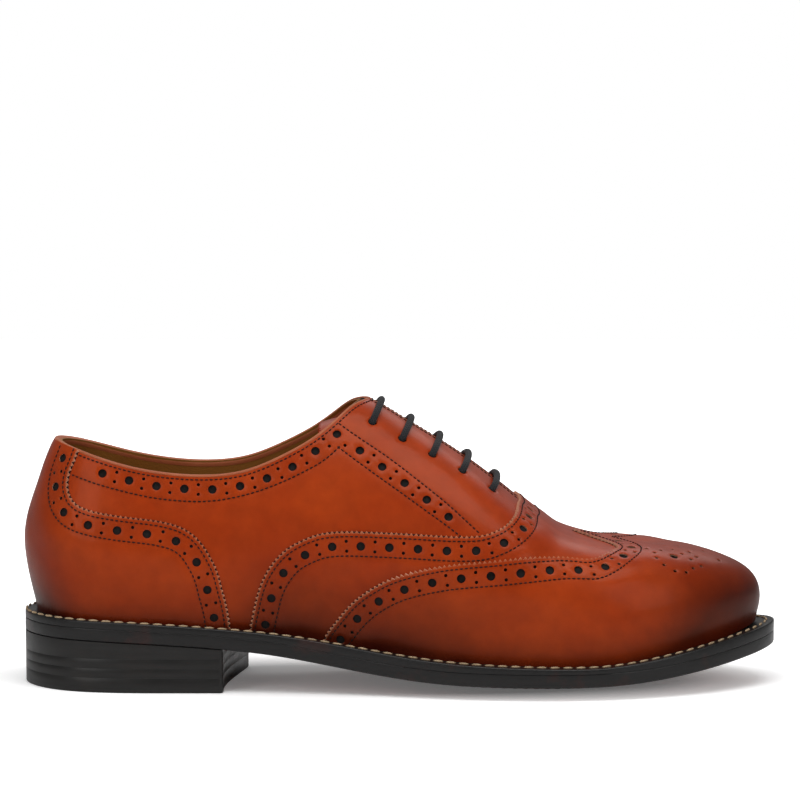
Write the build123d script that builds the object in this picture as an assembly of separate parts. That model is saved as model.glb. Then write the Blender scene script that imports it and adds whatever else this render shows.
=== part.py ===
from build123d import *
import math
import os
import numpy as np

# A closed-lacing oxford shoe with a wing toe cap, for the right foot.  Millimetres.
# +X points to the toe, +Y to the inner (medial) side, +Z up.  The heel rests on z = 0.

# ---- driving dimensions ------------------------------------------------------------------
LEATHER = 1.3                # outer leather of the upper
INTERLINING = 0.8            # puff, stiffener and reinforcement layer
LINING = 0.8                 # lining leather
INSOLE = 3.2                 # insole thickness
SOCK = 0.9                   # sock leather on the insole
OUTSOLE = 5.3                # outsole leather
TOP_PIECE = 6.0              # hard-wearing bottom layer of the heel
LIFTS = 3                    # leather lifts above the top piece
MARGIN_WIDTH = 9.0           # how far the upper is turned under the insole
RIB_WIDTH = 2.5              # rib the welt is sewn to
FACING_GAP = 2.4             # gap between the two lacing edges
TONGUE_LEATHER = 1.2
TONGUE_LINING = 0.8
LACE = 2.8                   # lace diameter
EYELET_HOLE = 3.6            # punched lace hole
AGLET_LENGTH = 16.0
AGLET = 3.2                  # aglet outer diameter
SHANK = (84.0, 14.0, 1.2)    # length, width, thickness of the steel shank
FLOOR = -8.0                 # working level below the sole, trimmed away
HEEL_SPINE, TOE_SPINE = -118.0, 104.0    # ends of the ridge line's pivots

# plan of the foot form at its widest, (x, y), outer side then inner side, heel to toe tip
OUTER_SIDE = [(-152.4, 0), (-147.6, -15), (-136, -26), (-118, -31.5), (-95, -32.5), (-68, -32),
              (-38, -33.5), (-8, -38), (20, -44), (45, -47.5), (65, -48), (86, -45.2), (105, -39),
              (121, -30.8), (133.5, -21), (142.3, -10.8), (146.3, 0)]
INNER_SIDE = [(-152.4, 0), (-147.6, 15), (-136, 26), (-118, 31.5), (-95, 31.5), (-68, 29), (-38, 27),
              (-8, 29.5), (20, 36), (45, 42), (62, 44.8), (80, 44.8), (98, 41.8), (115, 35.8),
              (129, 27.3), (140, 15.5), (146.3, 0)]
# heights along x: foot of the form, its ridge, the welt's top, the outsole's edge and middle
FOOT = [(-152, 30.6), (-130, 30.2), (-110, 29.4), (-73, 27.0), (-32, 22.4), (0, 18.1), (24, 15.7),
        (49, 14.3), (73, 14.4), (90, 16.0), (106, 18.6), (122, 21.3), (136, 24.3), (146, 27.2)]
RIDGE = [(-150, 126), (-100, 126), (-60, 125), (-30, 121.5), (-16, 117.5), (-8, 113.5), (0, 108.5),
         (24, 93.2), (45, 77.0), (57, 67.6), (65, 63.2), (73, 60.4), (81, 58.5), (90, 57.2),
         (98, 56.6), (106, 56.3)]
WELT_TOP = [(-160, 29.9), (-130, 29.2), (-110, 28.4), (-73, 26.0), (-54, 24.3), (-33, 21.6),
            (-2, 16.9), (20, 14.6), (40, 13.6), (65, 13.1), (81, 13.3), (101, 15.6), (121, 19.2),
            (140, 23.0), (160, 26.8)]
SOLE_EDGE = [(-160, 21.4), (-110, 20.1), (-73, 17.7), (-54, 16.0), (-33, 13.3), (-2, 8.6), (20, 6.1),
             (40, 5.1), (65, 4.8), (81, 5.4), (101, 7.5), (121, 10.9), (140, 14.6), (160, 18.6)]
SOLE_MIDDLE = [(-160, 21.4), (-110, 20.1), (-73, 17.7), (-54, 15.6), (-33, 11.6), (-2, 5.0),
               (20, 1.7), (40, 0.3), (58, 0.1), (75, 0.9), (91, 2.8), (111, 6.4), (130, 10.6),
               (160, 17.4)]
# how far the sole's edge stands beyond the plan, along x
SOLE_MARGIN = [(-152.4, 0.2), (-130, 1.0), (-95, 1.6), (-60, 2.4), (-30, 3.2), (0, 4.4), (30, 5.4),
               (65, 5.7), (110, 6.0), (146.3, 6.2)]
# section shape at stations along x: share of the half width, then share of the height
STATIONS = [-152.4, -120, -85, -45, -5, 30, 65, 100, 130, 146.3]
WIDTH_SHARES = [[.865, .93, .93, .90, .93, .96, .97, .97, .97, .975],
                [.97, 1.04, 1.05, 1.05, 1.05, 1.04, 1.03, 1.03, 1.03, 1.03],
                [1.065, 1.05, 1.02, 1.04, 1.04, 1.00, .98, .98, .99, .99],
                [.84, .86, .86, .92, .84, .80, .78, .78, .77, .74],
                [.60, .62, .62, .55, .42, .42, .42, .42, .38, .32],
                [0] * 10]
HEIGHT_SHARES = [[0] * 10,
                 [.15, .14, .14, .15, .18, .24, .28, .28, .28, .24],
                 [.33, .32, .34, .42, .50, .58, .65, .65, .62, .56],
                 [.53, .54, .58, .70, .83, .90, .93, .93, .89, .83],
                 [.80, .82, .84, .93, .985, 1.0, 1.0, 1.0, 1.0, 1.0],
                 [1.0] * 10]
# pattern lines in side view, (x, z)
TOPLINE = [(-150, 101.5), (-139.5, 99.3), (-128, 96), (-111, 91), (-95, 88), (-78, 87), (-62, 89),
           (-46, 95.5), (-33, 103), (-25, 109.3), (-20.5, 112.9), (-16.5, 114.9), (-12, 115.8), (-8, 116.6)]
COUNTER_LINE = [(-127.5, 104), (-129, 96), (-132, 88), (-132.5, 81), (-130, 76.5), (-124, 73.5),
                (-108, 71), (-92, 68.5), (-81, 63), (-75, 54), (-71, 43), (-68.5, 32), (-67, 18)]
VAMP_LINE = [(-62, 18), (-60, 28), (-57.5, 42), (-50, 54), (-39, 62.3), (-26, 66), (-7, 66.3),
             (18, 65.3), (33, 65.4), (41, 67.5), (46, 72.5), (47, 80), (47, 90)]
WING_LINE = [(-34, 16), (-29, 25), (-21, 36), (-9, 45), (7, 51), (23, 54), (46, 56), (65, 56.3),
             (77, 56), (84, 58), (86, 66)]
WING_PEAK = [(69.0, 0), (86.5, -20), (100, -20), (100, 20), (86.5, 20)]    # seen from above
LINING_JOIN = [(8, 8), (30, 45), (49, 90)]
HEEL_LINING_JOIN = [(-112, 104), (-106, 70), (-98, 20)]
PUFF_JOIN = [(96, 5), (97, 40), (90, 75)]
# tongue: height of its top face, its half width and its roundness along x
TONGUE_TOP = [(-33, 105.2), (-24, 107.6), (-14, 107.0), (0, 100.6), (12, 93.4), (24, 85.4),
              (36, 76.8), (45, 70.3), (60, 60.0)]
TONGUE_HALF = [(-33, 15.5), (-20, 17), (20, 17), (60, 16.5)]
TONGUE_ROUND = [(-33, .021), (-11, .026), (1, .0205), (15, .0125), (28, .0078), (42, .006), (60, .005)]
TONGUE_TIP, TONGUE_HINGE, TONGUE_ROOT = -33.0, 45.0, 60.0
TONGUE_GAP = 1.9             # room at the fold for the tongue to bend down
# lace: each bar's points on one side, (x, distance from the middle, z): under the lining, above the
# hole, on the shoulder of the instep, on its crest
LACE_STEPS = [[(-12.2, 14.4, 104.4), (-10.5, 18.5, 109.2), (-8.2, 9.6, 113.5), (-7.1, 0, 115.2)],
              [(-0.5, 16.6, 97.8), (1.6, 20.4, 102.7), (4.1, 9.4, 106.8), (4.8, 0, 107.7)],
              [(11.4, 18.7, 91.4), (13.7, 22.0, 96.5), (15.9, 9.3, 100.0), (16.4, 0, 100.6)],
              [(22.9, 20.3, 84.9), (25.9, 22.8, 90.1), (27.6, 9.2, 92.5), (27.9, 0, 92.9)],
              [(34.4, 20.4, 77.4), (38.1, 21.9, 82.6), (39.2, 9.1, 83.9), (39.4, 0, 84.1)]]
LACE_START = [(24.5, -26.0, 23.5), (11, -24.8, 24.3), (-1, -26.2, 29.5), (-11, -29, 37.5), (-17.5, -31.2, 48),
              (-20, -31.6, 62), (-19.5, -29.6, 76), (-17.5, -25.4, 88.5), (-14.6, -19.7, 98.6)]
LACE_END = [(34, 26.3, 72), (33, 30.6, 60), (28.5, 31.6, 47), (20.5, 29.5, 36.5), (10, 26, 29.5),
            (-2.5, 22.5, 26.2), (-16, 19.5, 28.2)]
BREAST = [(-66.5, -60), (-70.7, -33), (-62.5, 31), (-59, 60)]      # front of the heel, from above


class Curve:
    """A natural cubic spline through a few (x, y) points, held level beyond its ends."""

    def __init__(self, points):
        p = np.array(sorted(points), float)
        self.x, self.y = p[:, 0], p[:, 1]
        count, step = len(p), np.diff(p[:, 0])
        matrix, right = np.eye(count), np.zeros(count)
        for i in range(1, count - 1):
            matrix[i, i - 1:i + 2] = step[i - 1], 2 * (step[i - 1] + step[i]), step[i]
            rise = (self.y[i + 1] - self.y[i]) / step[i]
            right[i] = 6 * (rise - (self.y[i] - self.y[i - 1]) / step[i - 1])
        self.bend = np.linalg.solve(matrix, right)

    def __call__(self, x):
        x = np.clip(np.asarray(x, float), self.x[0], self.x[-1])
        i = np.clip(np.searchsorted(self.x, x) - 1, 0, len(self.x) - 2)
        h = self.x[i + 1] - self.x[i]
        a, b = (self.x[i + 1] - x) / h, (x - self.x[i]) / h
        sag = (a**3 - a) * self.bend[i] + (b**3 - b) * self.bend[i + 1]
        return a * self.y[i] + b * self.y[i + 1] + sag * h * h / 6


class Outline:
    """The plan as a closed smooth curve: 0 at the heel, 1 or -1 at the toe, below 0 outer side."""

    def __init__(self, outer, inner):
        outer, inner = np.array(outer, float), np.array(inner, float)
        s = np.r_[-self.shares(outer)[::-1], self.shares(inner)[1:]]
        p = np.r_[outer[::-1], inner[1:]]
        around = 14         # points repeated past the toe so that the curve closes smoothly
        s = np.r_[s[-around - 1:-1] - 2, s, s[1:around + 1] + 2]
        p = np.r_[p[-around - 1:-1], p, p[1:around + 1]]
        self.across, self.along = Curve(list(zip(s, p[:, 1]))), Curve(list(zip(s, p[:, 0])))

    def x(self, s):
        """Place along the shoe at a share."""
        return self.along((s + 1) % 2 - 1)

    def y(self, s):
        """Place across the shoe at a share."""
        return self.across((s + 1) % 2 - 1)

    @staticmethod
    def shares(points):
        """Share of the way along the points by chord length."""
        way = np.r_[0, np.cumsum(np.hypot(*np.diff(points, axis=0).T))]
        return way / way[-1]

    def beyond(self, margin, count=44):
        """Points around the plan, moved outward by margin(x)."""
        s = np.linspace(-1, 1, count, endpoint=False)
        dx, dy = self.x(s + 1e-4) - self.x(s - 1e-4), self.y(s + 1e-4) - self.y(s - 1e-4)
        size = np.hypot(dx, dy)
        m = margin(self.x(s))
        return list(zip(self.x(s) - m * dy / size, self.y(s) + m * dx / size))


PLAN = Outline(OUTER_SIDE, INNER_SIDE)
FOOT_Z, RIDGE_Z = Curve(FOOT), Curve(RIDGE)
WIDTHS = [Curve(list(zip(STATIONS, row))) for row in WIDTH_SHARES]
HEIGHTS = [Curve(list(zip(STATIONS, row))) for row in HEIGHT_SHARES]
KNOTS = [0, 0, 0, 0, 1 / 3, 2 / 3, 1, 1, 1, 1]


def eased(share):
    """0 to 1 with level ends."""
    share = np.clip(share, 0, 1)
    return share * share * (3 - 2 * share)


def held(x, low, high, soft=9.0):
    """x held between low and high with soft corners."""
    up = low + soft * np.logaddexp(0, (x - low) / soft)
    return high - soft * np.logaddexp(0, (high - up) / soft)


def section_weights(t):
    """The six cubic B-spline weights of a section at height share t."""
    t = np.clip(np.asarray(t, float), 0, 1 - 1e-12)
    weights = [((KNOTS[i] <= t) & (t < KNOTS[i + 1])).astype(float) for i in range(9)]
    for k in range(1, 4):
        raised = []
        for i in range(9 - k):
            value = 0 * t
            if KNOTS[i + k] > KNOTS[i]:
                value = value + (t - KNOTS[i]) / (KNOTS[i + k] - KNOTS[i]) * weights[i]
            if KNOTS[i + k + 1] > KNOTS[i + 1]:
                value = value + (KNOTS[i + k + 1] - t) / (KNOTS[i + k + 1] - KNOTS[i + 1]) * weights[i + 1]
            raised.append(value)
        weights = raised
    return weights


def form(s, t):
    """Point of the foot form at outline share s and height share t (0 foot, 1 ridge)."""
    s, t = np.broadcast_arrays(np.asarray(s, float), np.asarray(t, float))
    x, y = PLAN.x(s), PLAN.y(s)
    pivot = held((PLAN.x(s) + PLAN.x(-s)) / 2, HEEL_SPINE, TOE_SPINE)
    weights = section_weights(t)
    a = sum(w * curve(x) for w, curve in zip(weights, WIDTHS))
    b = sum(w * curve(x) for w, curve in zip(weights, HEIGHTS))
    foot, ridge = FOOT_Z(x), RIDGE_Z(pivot)
    evened = eased((t - .35) / .5)          # the two sides grow alike towards the ridge
    y = y * (1 - evened) + (y - PLAN.y(-s)) / 2 * evened
    return np.stack([pivot + a * (x - pivot), a * y, foot + (ridge - foot) * b], -1)


def inward(s, t):
    """Direction square to the form's surface, pointing inside (not of unit length)."""
    t = np.clip(t, 0, .985)
    along, up = form(s + 1e-4, t) - form(s - 1e-4, t), form(s, t + 1e-4) - form(s, t - 1e-4)
    return np.cross(along, up)


def skin(s, t, depth):
    """Point at this depth inside the form; both sides meet on the mid plane and never cross it."""
    s, t = np.broadcast_arrays(np.asarray(s, float), np.asarray(t, float))
    n, other = inward(s, t), inward(-s, t)
    n = n / np.linalg.norm(n, axis=-1, keepdims=True)
    other = other / np.linalg.norm(other, axis=-1, keepdims=True)
    point = form(s, t)
    shared = eased((t - .85) / .15)[..., None] / 2
    move = depth * (n * (1 - shared) + other * shared)
    over_heel = eased((-45 - point[..., 0]) / 40) * eased((t - .86) / .1)    # above the opening
    used = depth * abs(n[..., 1]) / np.maximum(abs(point[..., 1]), 1e-9)
    kept = np.where(used < .5, 1 - used, .25 / np.maximum(used, .5))
    x = point[..., 0] + move[..., 0] * (1 - over_heel)
    return np.stack([x, point[..., 1] * kept, point[..., 2] + move[..., 2]], -1)


def bernstein(degree, shares):
    """Weights of a Bezier curve's control points at each share."""
    u, k = np.asarray(shares, float)[:, None], np.arange(degree + 1)[None]
    return np.array([math.comb(degree, i) for i in range(degree + 1)]) * u**k * (1 - u)**(degree - k)


def fitted_row(points, degree):
    """Control points of the Bezier curve that ends on the first and last point and fits the rest."""
    weights = bernstein(degree, np.linspace(0, 1, len(points)))
    row = np.zeros((degree + 1, 3))
    row[0], row[-1] = points[0], points[-1]
    rest = points - weights[:, [0, -1]] @ row[[0, -1]]
    row[1:-1] = np.linalg.lstsq(weights[:, 1:-1], rest, rcond=None)[0]
    return row


def fitted_net(grid, along, across):
    """Control net of a Bezier face through a grid; its edges depend on the grid's edges alone."""
    net = np.zeros((along + 1, across + 1, 3))
    net[:, 0], net[:, -1] = fitted_row(grid[:, 0], along), fitted_row(grid[:, -1], along)
    net[0], net[-1] = fitted_row(grid[0], across), fitted_row(grid[-1], across)
    u, v = bernstein(along, np.linspace(0, 1, grid.shape[0])), bernstein(across, np.linspace(0, 1, grid.shape[1]))
    rest = grid - np.einsum("ai,bj,ijk->abk", u, v, net)
    inner = np.einsum("ia,jb,abk->ijk", np.linalg.pinv(u[:, 1:-1]), np.linalg.pinv(v[:, 1:-1]), rest)
    net[1:-1, 1:-1] = inner
    return net


def bezier_face(net):
    """A face from a control net."""
    return Face.make_bezier_surface([[tuple(p) for p in row] for row in net])


SPANS = [0, .10, .26, .45, .66, .84, 1.0]      # shares of the outline covered by one face each
ALONG, UP = 7, 9                               # degrees of those faces


def form_solid(depth):
    """The closed foot form at a depth, with a straight skirt down to the working level."""
    faces, rim = [], []
    for side in (-1, 1):
        for start, end in zip(SPANS, SPANS[1:]):
            shares = side * np.linspace(start, end, 25)
            net = fitted_net(skin(shares[:, None], np.linspace(0, 1, 41)[None], depth), ALONG, UP)
            foot = net[:, 0]
            low = foot * [1, 1, 0] + [0, 0, FLOOR]
            faces.append(bezier_face(net))
            faces.append(bezier_face(np.stack([low, foot], 1)))
            rim.append(Edge.make_bezier(*[tuple(p) for p in low]))
    faces.append(Face(Wire(rim)))
    return Solid(Shell(faces))


def side_region(line, corners):
    """Prism across the shoe whose side view is a smooth line closed by straight corners."""
    points = [(x, -90, z) for x, z in line]
    close = [points[-1], *[(x, -90, z) for x, z in corners], points[0]]
    return extrude(make_face([Spline(points), Polyline(close)]), amount=180, dir=(0, 1, 0))


def above(heights, lift=0.0):
    """Everything above a height line along x, raised by lift."""
    line = [(x, z + lift) for x, z in heights]
    return side_region(line, [(line[-1][0], 250), (line[0][0], 250)])


def plan_column(points):
    """Upright column on a closed smooth plan."""
    return extrude(make_face(Spline([(x, y, FLOOR) for x, y in points], periodic=True)), amount=180)


def inset_column(width):
    """Column inside the plan by a width."""
    return plan_column(PLAN.beyond(lambda x: 0 * x - width))


def sole_column():
    """Column out to the sole's edge."""
    return plan_column(PLAN.beyond(Curve(SOLE_MARGIN)))


def above_sole(lift):
    """Everything above the sole's crowned bottom face, raised by lift."""
    x = np.linspace(-159, 159, 61)[:, None]
    y = np.linspace(-64, 64, 9)[None]
    edge, middle = Curve(SOLE_EDGE)(x), Curve(SOLE_MIDDLE)(x)
    z = middle + (edge - middle) * (y / 50) ** 2 + lift
    grid = np.stack(np.broadcast_arrays(x, y, z), -1)
    return extrude(bezier_face(fitted_net(grid, 14, 2)), amount=150, dir=(0, 0, 1))


def one(shape):
    """The single solid of a boolean result."""
    solids = shape.solids()
    if len(solids) != 1:
        print("  pieces:", [round(s.volume, 3) for s in solids])
    return max(solids, key=lambda s: s.volume)


def layers():
    """The three layers of the upper, open at the top line and over the filler."""
    opening = side_region(TOPLINE, [(-8, 150), (-170, 150), (-170, 102)])
    hole = inset_column(MARGIN_WIDTH)
    depths = [0, LEATHER, LEATHER + INTERLINING, LEATHER + INTERLINING + LINING]
    bodies = [form_solid(d) & above(WELT_TOP, d) for d in depths]
    result = []
    for i in range(3):
        shell = bodies[i] - bodies[i + 1]
        hole_here = hole & (above(WELT_TOP, depths[i] - 2) - above(WELT_TOP, depths[i + 1] + 2))
        result.append(shell - hole_here - opening)
    return result, bodies[3], opening


def split(shell, region):
    """A layer cut in two by a region: inside, then outside."""
    return shell & region, shell - region


def half_space(side):
    """Everything on one side of the mid plane."""
    return Pos(0, side * 100, 60) * Box(400, 200, 220)


def facing_slot():
    """The gap between the two lacing edges."""
    return Pos(5, 0, 100) * Box(110, FACING_GAP, 90)


def surface_frame(x, y):
    """Point of the form over (x, y) and its outward direction, from a fine grid."""
    s_grid, t_grid = np.meshgrid(np.sign(y) * np.linspace(.35, .75, 321), np.linspace(.55, .995, 321), indexing="ij")
    points = form(s_grid, t_grid)
    i = np.unravel_index(np.argmin((points[..., 0] - x) ** 2 + (points[..., 1] - y) ** 2), s_grid.shape)
    return points[i], -inward(s_grid[i], t_grid[i])


EYELETS = [(-11, 17.3), (1, 19.3), (13, 21), (25, 22), (37, 21.5)]      # x, distance from the middle


def lace_holes():
    """Cylinders through the facings at each eyelet, square to the leather."""
    holes = []
    for x, y in EYELETS:
        for side in (-1, 1):
            point, n = surface_frame(x, side * y)
            plane = Plane(origin=tuple(point), z_dir=tuple(n))
            holes.append(plane * Cylinder(EYELET_HOLE / 2, 14))
    return holes


def upper():
    """The upper's pieces, layer by layer."""
    (outer, middle, inner), inside, opening = layers()
    peak = extrude(make_face(Polyline([(x, y, 0) for x, y in WING_PEAK], close=True)), amount=120)
    peak = peak - Pos(80, 0, 22) * Box(120, 60, 44)
    wing = side_region(WING_LINE, [(86, 150), (170, 150), (170, FLOOR - 2), (-34, FLOOR - 2)])
    vamp = side_region(VAMP_LINE, [(47, 150), (170, 150), (170, FLOOR - 2), (-62, FLOOR - 2)])
    counter = side_region(COUNTER_LINE, [(-67, FLOOR - 2), (-170, FLOOR - 2), (-170, 150), (-127.5, 150)])
    join = side_region(LINING_JOIN, [(49, 150), (170, 150), (170, FLOOR - 2), (8, FLOOR - 2)])
    heel_join = side_region(HEEL_LINING_JOIN, [(-98, FLOOR - 2), (-170, FLOOR - 2), (-170, 150), (-112, 150)])
    puff = side_region(PUFF_JOIN, [(90, 150), (170, 150), (170, FLOOR - 2), (96, FLOOR - 2)])
    pieces = {}
    front, rest = split(outer, vamp)
    tip, front = split(front, wing)
    top_tip, front = split(front, peak)
    pieces["toe_cap"], pieces["vamp"] = tip + top_tip, front
    pieces["heel_counter"], quarters = split(rest, counter)
    cuts = [facing_slot(), *lace_holes()]
    quarters = quarters - cuts
    puff_piece, rest = split(middle, puff)
    vamp_middle, rest = split(rest, join)
    stiffener, rest = split(rest, counter)
    pieces["toe_puff"], pieces["vamp_interlining"], pieces["heel_stiffener"] = puff_piece, vamp_middle, stiffener
    reinforcement = rest - cuts
    vamp_lining, rest = split(inner, join)
    heel_lining, rest = split(rest, heel_join)
    pieces["vamp_lining"], pieces["heel_lining"] = vamp_lining, heel_lining
    linings = rest - cuts
    for name, side in (("outer_side", -1), ("inner_side", 1)):
        pieces[f"quarter_{name}"] = quarters & half_space(side)
        pieces[f"reinforcement_{name}"] = reinforcement & half_space(side)
        pieces[f"quarter_lining_{name}"] = linings & half_space(side)
    return pieces, inside


def sole(inside):
    """Insole, filler, shank, welt and outsole."""
    depth = LEATHER + INTERLINING + LINING
    column, margin, core = sole_column(), inset_column(MARGIN_WIDTH), inset_column(MARGIN_WIDTH + RIB_WIDTH)
    sole_bottom, sole_top = above_sole(0), above_sole(OUTSOLE)
    insole_low, insole_high = above(WELT_TOP, depth), above(WELT_TOP, depth + INSOLE)
    under_insole = sole_top - insole_low
    heel_seat_zone = Pos(-112, 0, 20) * Box(100, 120, 120)
    core_zone = under_insole & core
    length, width, thick = SHANK
    shank_line = [(x, Curve(WELT_TOP)(x) - 0.8) for x in (-92, -65, -38, -8)]
    shank = (above(shank_line) - above(shank_line, thick)) & (Pos(-50, 0, 20) * Box(length, width, 80))
    filler = (core_zone - heel_seat_zone) - shank
    pieces = {
        "insole": inside & (insole_low - insole_high),
        "sock": inside & (insole_high - above(WELT_TOP, depth + INSOLE + SOCK)),
        "insole_rib": under_insole & (margin - core),
        "cork_filler": filler,
        "heel_seat": (core_zone & heel_seat_zone) - shank,
        "shank": shank,
        "welt": (column & (sole_top - above(WELT_TOP))) - margin,
        "outsole": column & (sole_bottom - sole_top),
    }
    return pieces, column, sole_bottom


def heel(column, sole_bottom):
    """Top piece and stacked lifts under the heel seat."""
    points = [(x, y, FLOOR) for x, y in BREAST] + [(-170, 60, FLOOR), (-170, -60, FLOOR)]
    block = (extrude(make_face(Polyline(points, close=True)), amount=40) & column) - sole_bottom
    step = (Curve(SOLE_EDGE)(-73) - TOP_PIECE) / LIFTS
    levels = [0, TOP_PIECE] + [TOP_PIECE + step * (i + 1) for i in range(LIFTS - 1)] + [40]
    pieces = {}
    for i in range(LIFTS + 1):
        slab = Pos(-110, 0, (levels[i] + levels[i + 1]) / 2) * Box(120, 120, levels[i + 1] - levels[i])
        pieces["heel_top_piece" if i == 0 else f"heel_lift_{i}"] = block & slab
    return pieces


def tongue_point(x, v, drop):
    """Point of the tongue at x, share v across, and this far below its top face."""
    y = v * Curve(TONGUE_HALF)(x)
    return np.stack(np.broadcast_arrays(x, y, Curve(TONGUE_TOP)(x) - Curve(TONGUE_ROUND)(x) * y * y - drop), -1)


def tongue_slab(start, end, low, high):
    """A curved strip of the tongue between two depths below its top face."""
    x, v = np.linspace(start, end, 25)[:, None], np.linspace(-1, 1, 9)[None]
    top, bottom = fitted_net(tongue_point(x, v, low), 6, 3), fitted_net(tongue_point(x, v, high), 6, 3)
    faces = [bezier_face(top), bezier_face(bottom)]
    for pick in (np.s_[0], np.s_[-1], np.s_[:, 0], np.s_[:, -1]):
        faces.append(bezier_face(np.stack([top[pick], bottom[pick]], 1)))
    return Solid(Shell(faces))


def tongue():
    """The tongue, its lining and the fixed root sewn under the vamp."""
    full = TONGUE_LEATHER + TONGUE_LINING
    return {
        "tongue": tongue_slab(TONGUE_TIP, TONGUE_HINGE, 0, TONGUE_LEATHER),
        "tongue_lining": tongue_slab(TONGUE_TIP, TONGUE_HINGE, TONGUE_LEATHER, full),
        "tongue_root": tongue_slab(TONGUE_HINGE + TONGUE_GAP, TONGUE_ROOT, 0, full),
    }


def lace_route():
    """The lace's points from end to end: up one wall, bar by bar, and down the other wall."""
    points, side = list(LACE_START), -1
    for steps in LACE_STEPS:
        points += [(x, side * y, z) for x, y, z in steps]
        points += [(x, -side * y, z) for x, y, z in reversed(steps[:-1])]
        side = -side
    return [Vector(*p) for p in points + LACE_END]


def lace():
    """The lace as a round tube of straight runs and tangent arcs, with an aglet on each end."""
    points = lace_route()
    radii = []
    for before, here, after in zip(points, points[1:], points[2:]):
        turn = math.radians((here - before).get_angle(after - here))
        shorter = min((here - before).length, (after - here).length)
        radii.append(0.45 * shorter / math.tan(turn / 2))
    path = FilletPolyline(*points, radius=radii)
    tube = sweep(Plane(origin=points[0], z_dir=points[1] - points[0]) * Circle(LACE / 2), path=path)
    print("lace length", round(path.length, 1), "radii", [round(r, 1) for r in radii])
    print("lace volume", round(tube.volume, 1), "section times length", round(math.pi * LACE**2 / 4 * path.length, 1))
    pieces = {"lace": tube}
    for name, end, inner in (("aglet_start", points[0], points[1]), ("aglet_end", points[-1], points[-2])):
        away = (end - inner).normalized()
        pieces[name] = Plane(origin=end + away * AGLET_LENGTH / 2, z_dir=away) * Cylinder(AGLET / 2, AGLET_LENGTH)
    return pieces


def main():
    os.makedirs("parts", exist_ok=True)
    pieces, inside = upper()
    sole_pieces, column, sole_bottom = sole(inside)
    pieces.update(sole_pieces)
    pieces.update(heel(column, sole_bottom))
    pieces.update(tongue())
    pieces.update(lace())
    for name, shape in pieces.items():
        print(name)
        export_step(one(shape), f"parts/{name}.step")


main()
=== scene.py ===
import logging
import math
from dataclasses import dataclass, field
from enum import Enum
from typing import Callable, ClassVar, Sequence

import bmesh
import bpy
import numpy as np
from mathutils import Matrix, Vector
from mathutils.geometry import delaunay_2d_cdt


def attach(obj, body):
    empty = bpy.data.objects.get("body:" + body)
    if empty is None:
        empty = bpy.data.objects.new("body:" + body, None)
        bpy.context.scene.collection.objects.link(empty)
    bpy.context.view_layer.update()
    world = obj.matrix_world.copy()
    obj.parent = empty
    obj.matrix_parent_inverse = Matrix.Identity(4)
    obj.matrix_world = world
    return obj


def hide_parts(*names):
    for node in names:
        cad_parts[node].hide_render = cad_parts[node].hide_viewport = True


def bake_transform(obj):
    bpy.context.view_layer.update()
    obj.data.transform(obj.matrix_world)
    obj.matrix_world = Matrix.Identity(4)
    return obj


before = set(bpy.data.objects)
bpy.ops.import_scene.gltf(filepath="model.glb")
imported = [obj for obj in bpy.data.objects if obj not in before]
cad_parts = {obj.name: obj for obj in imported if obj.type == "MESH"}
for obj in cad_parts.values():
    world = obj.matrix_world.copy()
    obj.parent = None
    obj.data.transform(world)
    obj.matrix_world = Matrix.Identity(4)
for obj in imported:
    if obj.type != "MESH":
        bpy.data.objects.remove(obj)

LOG = logging.getLogger("oxford")
MM = 0.001
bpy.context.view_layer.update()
Array = np.ndarray
Triple = tuple[float, float, float]
Pairs = Sequence[tuple[float, float]]
Material, Object, Mesh = bpy.types.Material, bpy.types.Object, bpy.types.Mesh
Socket, Node = bpy.types.NodeSocket, bpy.types.Node

# ---- the last (foot form) that all the leather is pulled over, in millimetres -------------------
OUTER_SIDE = [(-152.4, 0), (-147.6, -15), (-136, -26), (-118, -31.5), (-95, -32.5), (-68, -32),
              (-38, -33.5), (-8, -38), (20, -44), (45, -47.5), (65, -48), (86, -45.2), (105, -39),
              (121, -30.8), (133.5, -21), (142.3, -10.8), (146.3, 0)]
INNER_SIDE = [(-152.4, 0), (-147.6, 15), (-136, 26), (-118, 31.5), (-95, 31.5), (-68, 29), (-38, 27),
              (-8, 29.5), (20, 36), (45, 42), (62, 44.8), (80, 44.8), (98, 41.8), (115, 35.8),
              (129, 27.3), (140, 15.5), (146.3, 0)]
FOOT = [(-152, 30.6), (-130, 30.2), (-110, 29.4), (-73, 27.0), (-32, 22.4), (0, 18.1), (24, 15.7),
        (49, 14.3), (73, 14.4), (90, 16.0), (106, 18.6), (122, 21.3), (136, 24.3), (146, 27.2)]
RIDGE = [(-150, 126), (-100, 126), (-60, 125), (-30, 121.5), (-16, 117.5), (-8, 113.5), (0, 108.5),
         (24, 93.2), (45, 77.0), (57, 67.6), (65, 63.2), (73, 60.4), (81, 58.5), (90, 57.2),
         (98, 56.6), (106, 56.3)]
WELT_TOP = [(-160, 29.9), (-130, 29.2), (-110, 28.4), (-73, 26.0), (-54, 24.3), (-33, 21.6),
            (-2, 16.9), (20, 14.6), (40, 13.6), (65, 13.1), (81, 13.3), (101, 15.6), (121, 19.2),
            (140, 23.0), (160, 26.8)]
SOLE_EDGE = [(-160, 21.4), (-110, 20.1), (-73, 17.7), (-54, 16.0), (-33, 13.3), (-2, 8.6), (20, 6.1),
             (40, 5.1), (65, 4.8), (81, 5.4), (101, 7.5), (121, 10.9), (140, 14.6), (160, 18.6)]
SOLE_MIDDLE = [(-160, 21.4), (-110, 20.1), (-73, 17.7), (-54, 15.6), (-33, 11.6), (-2, 5.0),
               (20, 1.7), (40, 0.3), (58, 0.1), (75, 0.9), (91, 2.8), (111, 6.4), (130, 10.6),
               (160, 17.4)]
SOLE_MARGIN = [(-152.4, 0.2), (-130, 1.0), (-95, 1.6), (-60, 2.4), (-30, 3.2), (0, 4.4), (30, 5.4),
               (65, 5.7), (110, 6.0), (146.3, 6.2)]
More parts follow.
